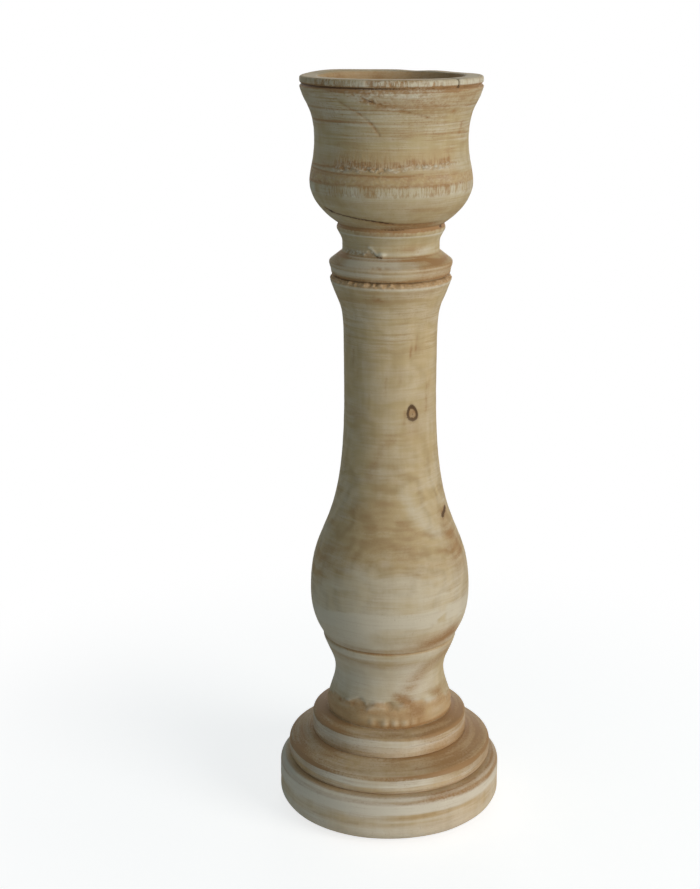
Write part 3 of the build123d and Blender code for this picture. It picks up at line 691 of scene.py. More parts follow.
    # painted shade in the hollows between the torn line's lumps
    pit_and_shade += 0.42 * s.spot(-54, 69.8, 3.4, 1.5) + 0.15 * lip * np.clip(-hills - 0.2, 0, 1)
    wash_and_painted_light += 0.45 * lip * np.clip(hills, 0, 1)
    for angle, strength in ((-16, 0.6), (-4, 1.0), (5, 0.9), (14.5, 0.8), (23, 0.5)):
        bead = strength * s.spot(angle, 59.6, 2.1, 2.3) * shown
        stand += 0.85 * bead
        wash_and_painted_light += 0.70 * bead
        bare -= 0.35 * bead
        glaze_and_shade += 0.60 * s.spot(angle + 4.6, 59.3, 0.8, 2.0) * strength - 0.50 * bead
    glaze_and_shade += 0.55 * s.belt(55.5, 57.2, 1.0) * shown
    lined = shown * (0.20 + 0.30 * s.belt(262, 294, 5))
    figured = shown * (0.30 + 0.35 * s.belt(125, 195, 15))
    return stand, {"wash_and_painted_light": wash_and_painted_light, "glaze_and_shade": np.maximum(glaze_and_shade, 0), "bare": bare, "crumbled": crumbled,
                   "pit_and_shade": pit_and_shade, "lined": lined, "figured": figured}


groove_mid = (STEM_GROOVE_R, (STEM_GROOVE_Z + BELLY_FOOT_Z) / 2)
fine_knot = ([126, 222, 224, 236, 237], [1.6, 1.5, 0.6, 0.6, 1.2])
stem_line = outline(
    (3.0, [(0, STEM_SCREW_END_Z), (STEM_SCREW_CORE_R, STEM_SCREW_Z), (STEM_SCREW_R, STEM_SCREW_Z)]),
    (8.0, [(STEM_SCREW_R, STEM_SCREW_Z), (STEM_SCREW_R, TENON_Z)]),
    (3.0, [(STEM_SCREW_R, TENON_Z), (TENON_R - TENON_CHAMFER, TENON_Z)]),
    (1.0, [(TENON_R - TENON_CHAMFER, TENON_Z), (TENON_R, TENON_Z + TENON_CHAMFER)]),
    (8.0, [(TENON_R, TENON_Z + TENON_CHAMFER), (TENON_R, STEM_Z)]),
    (4.0, [(TENON_R, STEM_Z), (FOOT_R, STEM_Z)]),
    (0.6, [(FOOT_R, STEM_Z), (FOOT_R, COVE_Z)]),
    (([60, 72, 79], [0.65, 0.75, 1.4]), cut((FOOT_R, COVE_Z), (WAIST_R, WAIST_Z), (0.20, 0.39))),
    (1.4, cut((WAIST_R, WAIST_Z), (COVE_EDGE_R, STEM_GROOVE_Z), (0.40, 0.36), (0, 0.30))),
    (0.4, [(COVE_EDGE_R, STEM_GROOVE_Z), groove_mid]),
    (0.4, [groove_mid, (BELLY_FOOT_R, BELLY_FOOT_Z)]),
    (([101, 104, 126], [0.6, 1.0, 1.1]),
     cut((BELLY_FOOT_R, BELLY_FOOT_Z), (BELLY_R, BELLY_Z), (0.09, 0.65))),
    (fine_knot, cut((BELLY_R, BELLY_Z), (SHAFT_R, SHAFT_Z), (0.375, 0.75))),
    (1.7, [(SHAFT_R, SHAFT_Z), (SHAFT_TOP_R, SHAFT_TOP_Z)]),
    (([262, 290, 294, 298], [1.7, 1.2, 0.45, 0.4]),
     cut((SHAFT_TOP_R, SHAFT_TOP_Z), (STEM_TOP_R, STEM_EDGE_Z), (0.70, 0.46), (0, 0.31))),
    (0.4, [(STEM_TOP_R, STEM_EDGE_Z), (JOINT_R, JOINT_Z)]),
    (4.0, [(JOINT_R, JOINT_Z), (SOCKET_R, JOINT_Z)]),
    (7.0, [(SOCKET_R, JOINT_Z), (SOCKET_R, STEM_SOCKET_Z)]),
    (4.0, [(SOCKET_R, STEM_SOCKET_Z), (0, STEM_SOCKET_Z)]),
)
stem = turned("turned_stem", stem_line, stem_surface)
stem.data.materials.append(whitewashed("stem_whitewash", (-8, 72), 14.0, 0.0, STEM_TAN, STEM_WASH_AND_PAINTED_LIGHT))
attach(stem, "stand")
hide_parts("stem")


# Candle cup: ring, neck, collar and bowl in one turning, hollowed from the rim and glued on the
# dowel. Its wall shows two bands of torn grain, a scratch and tool lines, and a crack runs under
# the bowl. The hollow is left in bare wood.
RING_FOOT_R, RING_FOOT_Z = 31.1, 300.4
RING_R, RING_Z, RING_TOP_Z = 32.1, 304.9, 306.5
NECK_R, NECK_Z, NECK_TOP_Z = 25.2, 311.8, 316.5
COLLAR_R, COLLAR_Z, COLLAR_TOP_Z = 28.05, 323.1, 324.3
COLLAR_GROOVE_R, BOWL_FOOT_Z = 27.2, 326.0
BOWL_R, BOWL_Z = 41.8, 347.2
BOWL_WAIST_R, BOWL_WAIST_Z = 39.2, 368.0
LIP_R, LIP_Z = 46.65, 395.0
RIM_GROOVE = (45.35, 395.95)
RIM_R, BAND_Z, RIM_Z, RIM_ROUND = 46.5, 396.9, 400.0, 1.2
MOUTH_R, MOUTH_ROUND = 37.2, 0.9
FLOOR_R, FLOOR_Z, FLOOR_ROUND = 29.0, 350.0, 3.4
CUP_SOCKET_Z = 323.0
FLANGE_HOLE_R, FLANGE_HOLE_Z = 8.2, 348.0
SPIKE_HOLE_R, SPIKE_HOLE_Z, SPIKE_HOLE_POINT = 2.55, 331.4, 3.0


def eased(before, corner, after):
    """A rounded corner: a cubic curve whose two inner controls lie 0.6 of the way to the corner."""
    before, corner, after = (np.array(p, float) for p in (before, corner, after))
    first, second = before + 0.6 * (corner - before), after + 0.6 * (corner - after)
    return cubic([before, first, second, after], 60)


def cup_surface(s):
    """The mm that the cup stands out, and its tints, from its rim to its ring and then its hollow."""
    wall_r = np.interp(s.high, [FLOOR_Z, RIM_Z], [FLOOR_R, MOUTH_R])
    inside = ((s.out < wall_r + 0.6) & (s.high > 347) & (s.high < 399.3)) * 1.0
    outer = s.belt(299.3, 401, 0.3) * (s.out > 20) * (1 - inside)
    soft = s.patchy(9, 11, 92)
    streak = s.patchy(7, 2.6, 93)
    stipple = s.patchy(150, 1.3, 104)
    stand = outer * (0.22 * s.patchy(4, 70, 81) + 0.06 * s.patchy(12, 2.0, 82) * s.belt(330, 396, 6))
    stand += inside * 0.16 * s.patchy(9, 3.0, 83) * s.belt(354, 398, 2)
    wash_and_painted_light = outer * (0.10 * soft - 0.10 * s.belt(308, 340, 6)) - 0.9 * inside
    bare = inside * 0.85
    front = s.side(-48, 26, 16)

    # The rim: low and high in turn round the back, nicked, with one crack down to the groove; painted shade
    # on the left of its wall and groove, and a painted highlight beside the crack
    rim_top = s.belt(399.2, 401, 0.5) * (1 - inside)
    worn = 0.22 * s.patchy(7, 60, 84) * rim_top
    for angle, breadth, rise in ((128, 0.30, -0.45), (163, 0.16, -0.50), (-133, 0.42, 1.0)):
        worn += rise * np.exp(-((s.across(angle) / s.out / breadth) ** 2)) * s.belt(397.5, 401, 1.2)
    stand += worn
    rim_wall = s.belt(396.8, 399.6, 0.5) * outer
    nicks = s.patchy(150, 3.4, 85) + 0.6 * s.patchy(60, 1.6, 105)
    stand -= 0.40 * rim_wall * np.clip(nicks - 0.2, 0, 1)
    crack = s.stroke(0.62, (44.5, 400.4), (45.4, 398.6), (45.0, 396.4)) * outer
    stand -= 0.55 * crack
    torn = rim_wall * (0.22 + 0.34 * front) * (1 + 0.5 * s.ragged(24, 58))
    # painted shade: the rim wall's wash is thinner on the left
    wash_and_painted_light += rim_wall * (0.62 - 0.5 * s.side(-130, -48, 20) + 0.35 * s.patchy(30, 20, 95)) - 0.15 * rim_top
    # a painted highlight along the crack's right edge
    wash_and_painted_light += 1.1 * s.stroke(1.1, (47.9, 399.4), (47.5, 396.8))
    glaze_and_shade = 0.8 * rim_wall * np.clip(nicks - 0.1, 0, 1) * (0.4 + 0.6 * front)
    glaze_and_shade += 0.22 * rim_top * (0.5 + s.patchy(26, 3, 100, s.out))
    groove = np.exp(-(((s.high - RIM_GROOVE[1]) / 0.5) ** 2)) * outer
    glaze_and_shade += 1.5 * s.belt(395.1, 396.7, 0.3) * outer
    below = s.belt(393.9, 395.3, 0.35) * s.side(-38, 40, 10) * outer
    thin = s.stroke(0.42, (38, 394.4), (60, 394.6), (85, 394.8)) * outer
    glaze_and_shade += 1.1 * below + 0.8 * thin
    pit_and_shade = 0.8 * crack + 0.20 * below
    # painted shade: the groove's pits are darker on the left
    pit_and_shade += groove * (0.36 + 0.50 * s.side(-140, -15, 30) + 0.12 * s.side(-15, 100, 20))
    wash_and_painted_light += 0.40 * s.stroke(0.3, (0, 395.1), (40, 395.2), (80, 395.4)) * outer
    drips = np.clip(s.patchy(120, 1.5, 96) + 0.2, 0, 1)
    spread = s.belt(392.4, 394.8, 1.0) * (0.15 + 0.85 * s.side(-30, 14, 16)) * outer
    glaze_and_shade += 0.85 * spread * drips
    crumbled = 0.15 * spread
    pit_and_shade += 0.40 * rim_wall * np.clip(nicks - 0.5, 0, 1) * front
    pit_and_shade += 0.85 * np.exp(-((s.across(-112) / 0.9) ** 2) - ((s.out - 41.5) / 0.8) ** 2) * rim_top
    bare += 0.15 * rim_top

    # The flare: tool lines with painted highlights under them, painted shade on its left, two slanting
    # scratches, cream patches
    wash_and_painted_light += outer * s.belt(381, 394, 4) * (0.16 + 0.25 * np.clip(soft, -0.3, 1)) * (1 - s.side(40, 120, 20))
    for height, strength, left, right in (
        (387.1, 0.60, 0, 75), (385.7, 0.75, -75, -5), (384.2, 0.50, -20, 60), (379.1, 0.80, -80, 60),
        (376.8, 0.50, -30, 70), (375.2, 0.55, -12, 75), (373.2, 0.60, -24, 75), (371.3, 0.50, -24, 65),
    ):
        level = s.high - height + 0.40 * s.ragged(10, int(height * 10))
        share = strength * s.side(left, right, 18) * (0.75 + 0.5 * streak) * outer
        glaze_and_shade += 1.1 * np.exp(-((level / 0.38) ** 2)) * share
        # the pale edge under each tool line is a painted highlight
        wash_and_painted_light += 0.8 * np.exp(-(((level + 1.1) / 0.5) ** 2)) * share
    # painted shade darkens the flare's left
    glaze_and_shade += 0.30 * s.belt(378, 396, 5) * s.side(-140, -52, 20) * outer
    glaze_and_shade += 0.16 * s.belt(382, 394, 3) * s.side(28, 120, 12) * outer * (0.8 + 0.6 * streak)
    scuff = np.clip(0.55 + 0.9 * stipple, 0, 1)
    slash = ((-37.6, 391.1), (-31.5, 387.8), (-23.8, 384.5), (-17.3, 381.1), (-12.9, 378.2), (-8.3, 373.4))
    scratch = s.stroke(0.55, *slash) * outer
    arc = s.stroke(0.52, (-24, 393), (-14, 390.1), (-9.9, 389), (5.2, 385.6), (31, 381))
    stand -= 0.20 * scratch + 0.18 * arc * scuff
    glaze_and_shade += scratch * (0.50 + 0.35 * scuff) * (0.6 + 0.5 * s.side(-22, 0, 6))
    glaze_and_shade += arc * scuff * (0.80 + 0.70 * s.side(-40, 4, 6))
    pit_and_shade += (0.75 * arc + 0.45 * scratch) * np.clip(stipple + 0.1, 0, 1)
    glaze_and_shade += 0.8 * s.spot(46, 384.5, 1.8, 0.9) + 0.7 * s.spot(60, 376.5, 1.2, 2.0)
    glaze_and_shade += 0.8 * s.spot(58, 373.6, 1.5, 0.9)
    glaze_and_shade += 0.32 * s.belt(386.5, 391.2, 1.2) * s.side(-6, 62, 10) * outer * (0.8 + 0.6 * stipple)
    wash_and_painted_light += 0.70 * s.spot(9, 392.2, 7, 1.2) + 0.50 * s.spot(-19, 391.2, 6, 2.0)
    glaze_and_shade += 0.30 * s.spot(24, 389.5, 14, 1.6) + 0.75 * s.spot(-14, 390.1, 4.5, 1.4) * scuff
    crumbled += 0.35 * s.spot(-14, 390.1, 4.5, 1.6)
    crumbled += 0.10 * s.belt(381, 394, 3) * s.side(-20, 50, 15) * outer
    wash_and_painted_light -= 0.24 * s.belt(361, 373, 3) * s.side(-34, 44, 12) * outer + 0.25 * s.spot(36, 377, 10, 4.5)

    # The upper torn band: upright strokes that thicken downwards to a crumbled edge
    jag = 0.8 * s.ragged(26, 86) + 0.6 * s.ragged(110, 87)
    low = s.high - jag - 0.8 * s.side(16, 60, 8)
    reach = s.side(-40, 43, 8) + 0.4 * s.side(-58, -40, 6)
    top = 366.5 + 5 * s.side(-44, -4, 8)
    rising = np.clip((top - low) / (top - 358.6), 0, 1) ** 1.7 * (low > 357.6)
    torn += rising * (0.08 + 0.72 * reach) * (0.85 + 0.45 * s.patchy(24, 9, 103)) * outer
    clumps = 0.55 + 0.45 * np.clip(s.side(-36, -16, 4) + s.side(2, 44, 5), 0, 1)
    base = band(low + 0.4 * jag, 358.4, 360.2, 0.9) * reach * outer * clumps
    edge = band(low, 355.8, 358.0, 0.4) * reach * outer
    crumbs = s.patchy(130, 1.4, 90) + 0.6 * s.patchy(64, 1.8, 106)
    flecks = s.patchy(150, 3.4, 88) + 0.6 * s.patchy(86, 5.5, 89)
    stand += 0.20 * torn * flecks * s.belt(340, 366, 3) + 0.40 * edge * crumbs
    crumbled += 0.42 * edge + 0.25 * base * s.side(-40, -8, 8)
    bare += 0.25 * rising * reach * outer + 0.20 * s.belt(354, 365, 3) * s.side(-85, 46, 14) * outer
    wash_and_painted_light += edge * np.clip(crumbs + 0.2, 0, 1) * (0.40 + 0.45 * s.side(6, 44, 6))
    glaze_and_shade += 0.40 * edge * np.clip(-crumbs, 0, 1) + 0.85 * base * np.clip(0.9 + flecks, 0, 1.2)
    pit_and_shade += 0.30 * base * np.clip(flecks - 0.5, 0, 1)
    crumbled += 0.5 * s.spot(51, 359, 5, 1.2)
    first = s.stroke(0.45, (-85, 356.7), (-67.7, 356.9), (-31.8, 357.2), (-12, 357.2))
    second = s.stroke(0.45, (-85, 355.2), (-56, 354.5), (-30, 354.0), (5.7, 353.7), (22, 354.5))
    glaze_and_shade += 1.3 * (first + second) * outer
    wash_and_painted_light += 0.30 * s.belt(355.0, 356.4, 0.5) * s.side(-110, -36, 8) * outer

    # A stippled tan band, and the lower torn band, pale with brown strokes
    tan_band = s.belt(349.0, 353.4, 0.8) * outer
    glaze_and_shade += tan_band * (0.20 + 0.40 * stipple + 0.25 * streak)
    glaze_and_shade += 0.40 * s.belt(348.3, 349.0, 0.4) * outer * (0.8 + streak)
    wash_and_painted_light += tan_band * (0.25 * stipple - 0.10)
    bare += 0.34 * tan_band
    seam = s.belt(353.6, 355.8, 0.5) * s.side(-25, 50, 10) * outer
    glaze_and_shade += 0.22 * seam
    wash_and_painted_light -= 0.25 * seam
    crumbled += 0.18 * tan_band
    wash_and_painted_light += 0.7 * s.spot(41, 353, 4.5, 2.2) * np.clip(0.7 + stipple, 0, 1)
    lower = band(s.high - 0.7 * jag, 343.6, 348.4, 0.8) * outer
    strokes = s.ragged(84, 107) + 0.6 * s.patchy(130, 5, 108)
    wide = 0.35 + 0.65 * s.side(-48, 74, 16)
    torn += 0.48 * lower * wide
    wash_and_painted_light += lower * (0.24 + 0.28 * strokes)
    glaze_and_shade += 0.45 * lower * wide * np.clip(-strokes - 0.05, 0, 1)
    glaze_and_shade += 0.5 * lower * (s.spot(38, 346, 8, 3) + s.spot(-20, 346, 7, 3)) * np.clip(0.4 - strokes, 0, 1)
    wash_and_painted_light += 0.30 * s.belt(339, 343.5, 1.8) * outer * (0.6 + 0.5 * soft)
    glaze_and_shade += outer * s.belt(327, 340, 4) * (0.20 + 0.10 * streak) + 0.30 * s.spot(22, 336.5, 15, 1.6)

    # A long crack under the bowl, and the collar with glaze in its groove, painted shade in the groove on
    # its left and a painted highlight under it
    under = ((-62, 335.5), (-50.5, 333.3), (-13.4, 330.3), (7.7, 328.6), (26, 328.3), (50, 328.6))
    split = s.stroke(0.50, *under) * (s.side(-66, -12, 16) + 0.7 * scuff * s.side(-12, 48, 20))
    stand -= 0.40 * split
    pit_and_shade += 0.78 * np.clip(split, 0, 1) + 0.8 * s.spot(-56, 334.2, 1.2, 0.8)
    glaze_and_shade += 0.9 * s.stroke(0.9, *under) * s.side(-66, 30, 25)
    sunny = s.side(4, 80, 18) * outer
    glaze_and_shade += 1.4 * s.belt(324.8, 326.2, 0.4) * outer + 0.9 * sunny * s.belt(324.6, 327.2, 0.7)
    pit_and_shade += 0.22 * sunny * s.belt(325.0, 326.8, 0.6)
    glaze_and_shade += 0.30 * s.belt(326.4, 328.4, 1.2) * outer
    glaze_and_shade += 0.45 * s.belt(322.8, 324.6, 0.5) * outer * (0.7 + stipple)
    crumbled += 0.12 * s.belt(323.6, 325, 0.5) * outer
    # painted shade in the collar's groove on its left
    pit_and_shade += 0.45 * np.exp(-(((s.high - 325.8) / 0.45) ** 2)) * outer * s.side(-140, 0, 40)
    pit_and_shade += 0.7 * s.spot(66, 325.6, 1.6, 0.9)
    # a painted highlight as a pale line under the collar's edge
    wash_and_painted_light += 0.80 * s.belt(321.5, 322.1, 0.4) * outer

    # The neck: clean, with a torn chip and a lifted splinter at its foot, a painted shadow under the
    # splinter, brown lines below
    chip = s.stroke(1.3, (-62, 312.8), (-42, 313.1), (-22, 313.0)) * (s.high > 311.4)
    broken = s.patchy(90, 1.4, 91)
    splinter = s.stroke(0.42, (-26.5, 316.4), (-22.5, 315.6), (-18.6, 313.9), (-15.6, 312.3))
    curl = s.spot(-10.5, 312.8, 1.9, 1.0)
    stand += 0.55 * chip * broken + 0.45 * splinter + 1.8 * curl
    crumbled += 0.75 * chip
    wash_and_painted_light += 0.50 * chip * (0.7 + 0.7 * broken) + splinter + 1.6 * curl
    # a painted shadow under the splinter and its curl
    pit_and_shade += 0.60 * s.stroke(0.4, (-20, 313.2), (-16.5, 311.9), (-10, 311.1))
    wash_and_painted_light += 0.70 * s.spot(42, 314.2, 6.5, 1.5) + 0.45 * s.spot(8, 312.8, 14, 0.7)
    glaze_and_shade += 0.85 * s.belt(311.1, 311.7, 0.35) * outer * (1 - curl)
    glaze_and_shade += 0.60 * s.belt(309.9, 310.4, 0.3) * s.side(-80, 30, 20) * outer
    glaze_and_shade += 0.40 * s.spot(20, 315, 9, 1.6)
    pit_and_shade += 0.30 * s.belt(311.2, 311.7, 0.3) * s.side(-75, 30, 20) * outer

    # The cone and ring: brown sweeps, darker at the sides, and two painted highlights on the ring
    cone = s.belt(306.4, 311.0, 0.6) * outer
    slant = s.patchy(30, 1.3, 57, s.high + 0.05 * s.angle)
    ends = s.side(-130, -62, 20) + 1.4 * s.side(44, 120, 24) + 0.35 * s.side(15, 50, 12)
    glaze_and_shade += cone * (0.20 * streak + ends * (0.55 + 0.35 * slant))
    wash_and_painted_light += cone * (1.05 + 0.30 * np.clip(-streak, -0.5, 1)) * (1 - np.clip(ends, 0, 1))
    glaze_and_shade += 0.55 * s.spot(-12, 307.0, 6, 0.9) * scuff
    ring = s.belt(300.2, 306.2, 0.6) * outer
    # two painted highlights along the ring
    painted_ring_highlights = 0.60 * s.belt(305.3, 305.8, 0.35) + 0.50 * s.belt(302.6, 303.5, 0.5)
    wash_and_painted_light += ring * painted_ring_highlights * s.side(-130, 45, 30)
    wash_and_painted_light += 0.45 * ring * s.belt(302.2, 304.2, 0.6) * s.side(-90, -16, 14)
    glaze_and_shade += ring * (0.35 * s.belt(304.2, 304.8, 0.4) + 0.40 * s.belt(300, 301.2, 0.6) + 0.2 * streak)
    glaze_and_shade += 0.50 * ring * s.side(36, 110, 26)
    bare += 0.30 * ring + 0.10 * cone
    glaze_and_shade += s.belt(298, 300.2, 0.5) * outer
    # painted shade: the joint under the ring is darker on the left
    pit_and_shade += 0.35 * s.belt(298, 299.7, 0.4) * outer * s.side(-140, -10, 40)

    # The hollow: bare wood, paler at the left of the back, and darker at its right with painted shade
    back = np.clip(s.side(-162, -100, 18) + s.side(132, 180, 12) + s.side(-180, -150, 12), 0, 1)
    wash_and_painted_light += inside * back
    bare -= 0.08 * inside * back
    stains = 0.50 * s.patchy(30, 30, 99) + 0.35 * s.patchy(50, 9, 98)
    # painted shade darkens the hollow's right side
    glaze_and_shade += inside * (0.10 + stains + 0.6 * s.side(86, 128, 16))
    pit_and_shade += 0.24 * inside * s.side(90, 126, 14)
    lined = outer * (0.30 + 0.50 * s.belt(367, 394, 4) * s.side(-38, 90, 26)) + 0.5 * inside
    lined *= 1 - 0.5 * np.clip(torn, 0, 1)
    return stand, {"wash_and_painted_light": wash_and_painted_light, "glaze_and_shade": np.maximum(glaze_and_shade, 0), "bare": bare, "torn": torn, "pit_and_shade": pit_and_shade,
                   "crumbled": crumbled, "lined": lined, "figured": 0.25 * outer}


wall_lean = np.array([MOUTH_R - FLOOR_R, RIM_Z - FLOOR_Z])
wall_lean /= np.hypot(*wall_lean)
wall_top = np.array([MOUTH_R, RIM_Z]) - MOUTH_ROUND * wall_lean
wall_foot = np.array([FLOOR_R, FLOOR_Z]) + FLOOR_ROUND * wall_lean
bowl_fine = ([326, 330, 340, 347], [0.5, 0.8, 0.9, 0.8])
torn_fine = ([347, 353, 358, 361, 368], [0.75, 0.5, 0.5, 0.75, 0.75])
flare_fine = ([368, 386, 391, 395], [0.75, 0.65, 0.5, 0.4])
cup_line = outline(
    (4.0, [(0, CUP_SOCKET_Z), (SOCKET_R, CUP_SOCKET_Z)]),
    (6.0, [(SOCKET_R, CUP_SOCKET_Z), (SOCKET_R, JOINT_Z)]),
    (4.0, [(SOCKET_R, JOINT_Z), (JOINT_R, JOINT_Z)]),
    (0.5, [(JOINT_R, JOINT_Z), (RING_FOOT_R, RING_FOOT_Z)]),
    (0.7, cut((RING_FOOT_R, RING_FOOT_Z), (RING_R, RING_Z), (0.4, 0.4), (0, 0.35))),
    (0.6, [(RING_R, RING_Z), (RING_R, RING_TOP_Z)]),
    (0.8, [(RING_R, RING_TOP_Z), (NECK_R, NECK_Z)]),
    (0.7, [(NECK_R, NECK_Z), (NECK_R, NECK_TOP_Z)]),
    (0.9, cut((NECK_R, NECK_TOP_Z), (COLLAR_R, COLLAR_Z), (0.3, 0.3), (0, 0.45))),
    (0.5, [(COLLAR_R, COLLAR_Z), (COLLAR_R, COLLAR_TOP_Z), (COLLAR_GROOVE_R, BOWL_FOOT_Z)]),
    (bowl_fine, cut((COLLAR_GROOVE_R, BOWL_FOOT_Z), (BOWL_R, BOWL_Z), (0.38, 0.24), (1.5, 0))),
    (torn_fine, cut((BOWL_R, BOWL_Z), (BOWL_WAIST_R, BOWL_WAIST_Z), (0.26, 0.45))),
    (flare_fine, cut((BOWL_WAIST_R, BOWL_WAIST_Z), (LIP_R, LIP_Z), (0.62, 0.34), (0, 0.23))),
    (0.4, [(LIP_R, LIP_Z), RIM_GROOVE]),
    (0.4, [RIM_GROOVE, (RIM_R, BAND_Z)]),
    (0.5, [(RIM_R, BAND_Z), (RIM_R, RIM_Z - RIM_ROUND)]),
    (0.5, bend((RIM_R - RIM_ROUND, RIM_Z - RIM_ROUND), RIM_ROUND, 0, 90)),
    (0.8, [(RIM_R - RIM_ROUND, RIM_Z), (MOUTH_R + MOUTH_ROUND, RIM_Z)]),
    (0.5, eased((MOUTH_R + MOUTH_ROUND, RIM_Z), (MOUTH_R, RIM_Z), wall_top)),
    (1.8, [wall_top, wall_foot]),
    (0.9, eased(wall_foot, (FLOOR_R, FLOOR_Z), (FLOOR_R - FLOOR_ROUND, FLOOR_Z))),
    (3.0, [(FLOOR_R - FLOOR_ROUND, FLOOR_Z), (FLANGE_HOLE_R, FLOOR_Z)]),
    (2.0, [(FLANGE_HOLE_R, FLOOR_Z), (FLANGE_HOLE_R, FLANGE_HOLE_Z)]),
    (3.0, [(FLANGE_HOLE_R, FLANGE_HOLE_Z), (SPIKE_HOLE_R, FLANGE_HOLE_Z)]),
    (6.0, [(SPIKE_HOLE_R, FLANGE_HOLE_Z), (SPIKE_HOLE_R, SPIKE_HOLE_Z + SPIKE_HOLE_POINT)]),
    (3.0, [(SPIKE_HOLE_R, SPIKE_HOLE_Z + SPIKE_HOLE_POINT), (0, SPIKE_HOLE_Z)]),
)
cup = turned("cup", cup_line, cup_surface)
cup.data.materials.append(whitewashed("cup_whitewash", (15, 110), 1.5, 5.0))
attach(cup, "stand")
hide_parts("candle_cup")


# Dowel: a fluted beech pin, bought in, glued half into the stem and half into the cup.
# It is bare wood, with fine upright fibres and short dark pores.
def dress(node, material):
    """Gives a solid that keeps its own mesh this one material."""
    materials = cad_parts[node].data.materials
    materials.clear()
    materials.append(material)


def bare_beech():
    """Beech: upright fibres mix two browns, and short pores darken them."""
    f = Finish("bare_beech", Specular_IOR_Level=0.3)
    x, y, z = [p * 1000 for p in f.place()]
    fibres = f.noise(x / 0.5, y / 0.5, z / 9, 3.0, 0.6)
    pores = f.noise(x / 0.35, y / 0.35, z / 2.2, 1.0)
    colour = f.mix(fibres.ease(0.3, 0.7), (0.60, 0.45, 0.28, 1), (0.46, 0.31, 0.17, 1))
    f.feed("Base Color", f.mix(pores.ease(0.62, 0.72) * 0.6, colour, (0.20, 0.11, 0.05, 1)))
    f.feed("Roughness", 0.55 + fibres * 0.2)
    f.bump(fibres * 0.6 + pores * 0.4, 0.0002, 0.5)
    return f.material


dress("upper_dowel", bare_beech())


# Coach screw and washer: zinc plated steel, pressed and rolled. The screw holds the plinth, the
# two discs and the stem together from beneath, and the felt hides it.
def zinc_plate():
    """Zinc: clouds mix two greys, and drawn lines warm them."""
    f = Finish("zinc_plate", Metallic=1.0)
    x, y, z = [p * 1000 for p in f.place()]
    cloud = f.noise(x / 2.5, y / 2.5, z / 2.5, 3.0, 0.6)
    drawn = f.noise(x / 0.3, y / 3.0, z / 3.0, 2.0)
    colour = f.mix(cloud.ease(0.35, 0.68), (0.62, 0.63, 0.62, 1), (0.47, 0.49, 0.50, 1))
    f.feed("Base Color", f.mix(drawn.ease(0.6, 0.8) * 0.3, colour, (0.70, 0.68, 0.60, 1)))
    f.feed("Roughness", 0.30 + cloud * 0.22)
    f.bump(drawn, 0.00008, 0.4)
    return f.material


plated = zinc_plate()
for node in ("base_screw", "base_washer"):
    dress(node, plated)


# Spike: dark bare steel, turned to a taper, with a flange let into the cup's floor and a wood
# thread below it. Fine tool rings and a little brown bloom show on it.
def dark_steel():
    """Steel: bloom mixes grey with brown, and rings from the tool brighten both."""
    f = Finish("dark_steel", Metallic=1.0)
    x, y, z = [p * 1000 for p in f.place()]
    rings = f.noise(x / 20, y / 20, z / 0.18, 2.0)
    bloom = f.noise(x / 1.8, y / 1.8, z / 2.6, 3.0, 0.65)
    colour = f.mix(bloom.ease(0.42, 0.66), (0.20, 0.195, 0.19, 1), (0.13, 0.085, 0.055, 1))
    f.feed("Base Color", f.mix(rings.ease(0.55, 0.75) * 0.4, colour, (0.33, 0.32, 0.31, 1)))
    f.feed("Roughness", 0.34 + bloom * 0.30)
    f.bump(rings * 0.7 + bloom * 0.3, 0.00010, 0.5)
    return f.material


dress("pricket_spike", dark_steel())


# Drip pan: a thin pressed dish of dark tinned sheet with a rolled rim. It lies loose on the cup's
# floor round the spike and lifts out. Spinning left faint rings, and the tin is dull in patches.
def dark_tin():
    """Tin: dull patches mix two greys, under brown specks and bright rings round the axis."""
    f = Finish("dark_tin", Metallic=1.0)
    x, y, z = [p * 1000 for p in f.place()]
    out = (x * x + y * y) ** 0.5
    rings = f.noise(out / 0.22, x / 30, z / 0.6, 2.0)
    dull = f.noise(x / 7, y / 7, z / 7, 4.0, 0.6)
    specks = f.noise(x / 0.7, y / 0.7, z / 0.7, 1.0)
    colour = f.mix(dull.ease(0.38, 0.64), (0.34, 0.33, 0.31, 1), (0.21, 0.20, 0.185, 1))
    colour = f.mix(specks.ease(0.66, 0.76) * 0.5, colour, (0.12, 0.085, 0.06, 1))
    f.feed("Base Color", f.mix(rings.ease(0.55, 0.75) * 0.35, colour, (0.44, 0.43, 0.40, 1)))
    f.feed("Roughness", 0.30 + dull * 0.26)
    f.bump(rings * 0.6 + specks * 0.4, 0.00008, 0.45)
    return f.material


dress("drip_pan", dark_tin())


# Felt pad: a disc of brown pressed wool felt, cut from 2 mm sheet and glued under the plinth.
# It covers the screw, and the stand rests on it, so its edge is a little crushed and hairy.
FELT_R = 52.0
FELT_T = 2.0
FELT_EDGE = 2.0         # the width of its closely spaced edge


def felt_surface(s):
    """The felt's edge, drawn in by up to 0.28 mm at random, and the fuzz at each point."""
    rim = band(s.out, FELT_R - 1.5, FELT_R + 1, 1.0) * s.belt(0.25, 1.75, 0.2)
    stand = rim * (0.14 * s.patchy(160, 0.8, 121) - 0.14)
    return stand, {"fuzz": 0.5 + 0.5 * s.patchy(90, 0.6, 122)}


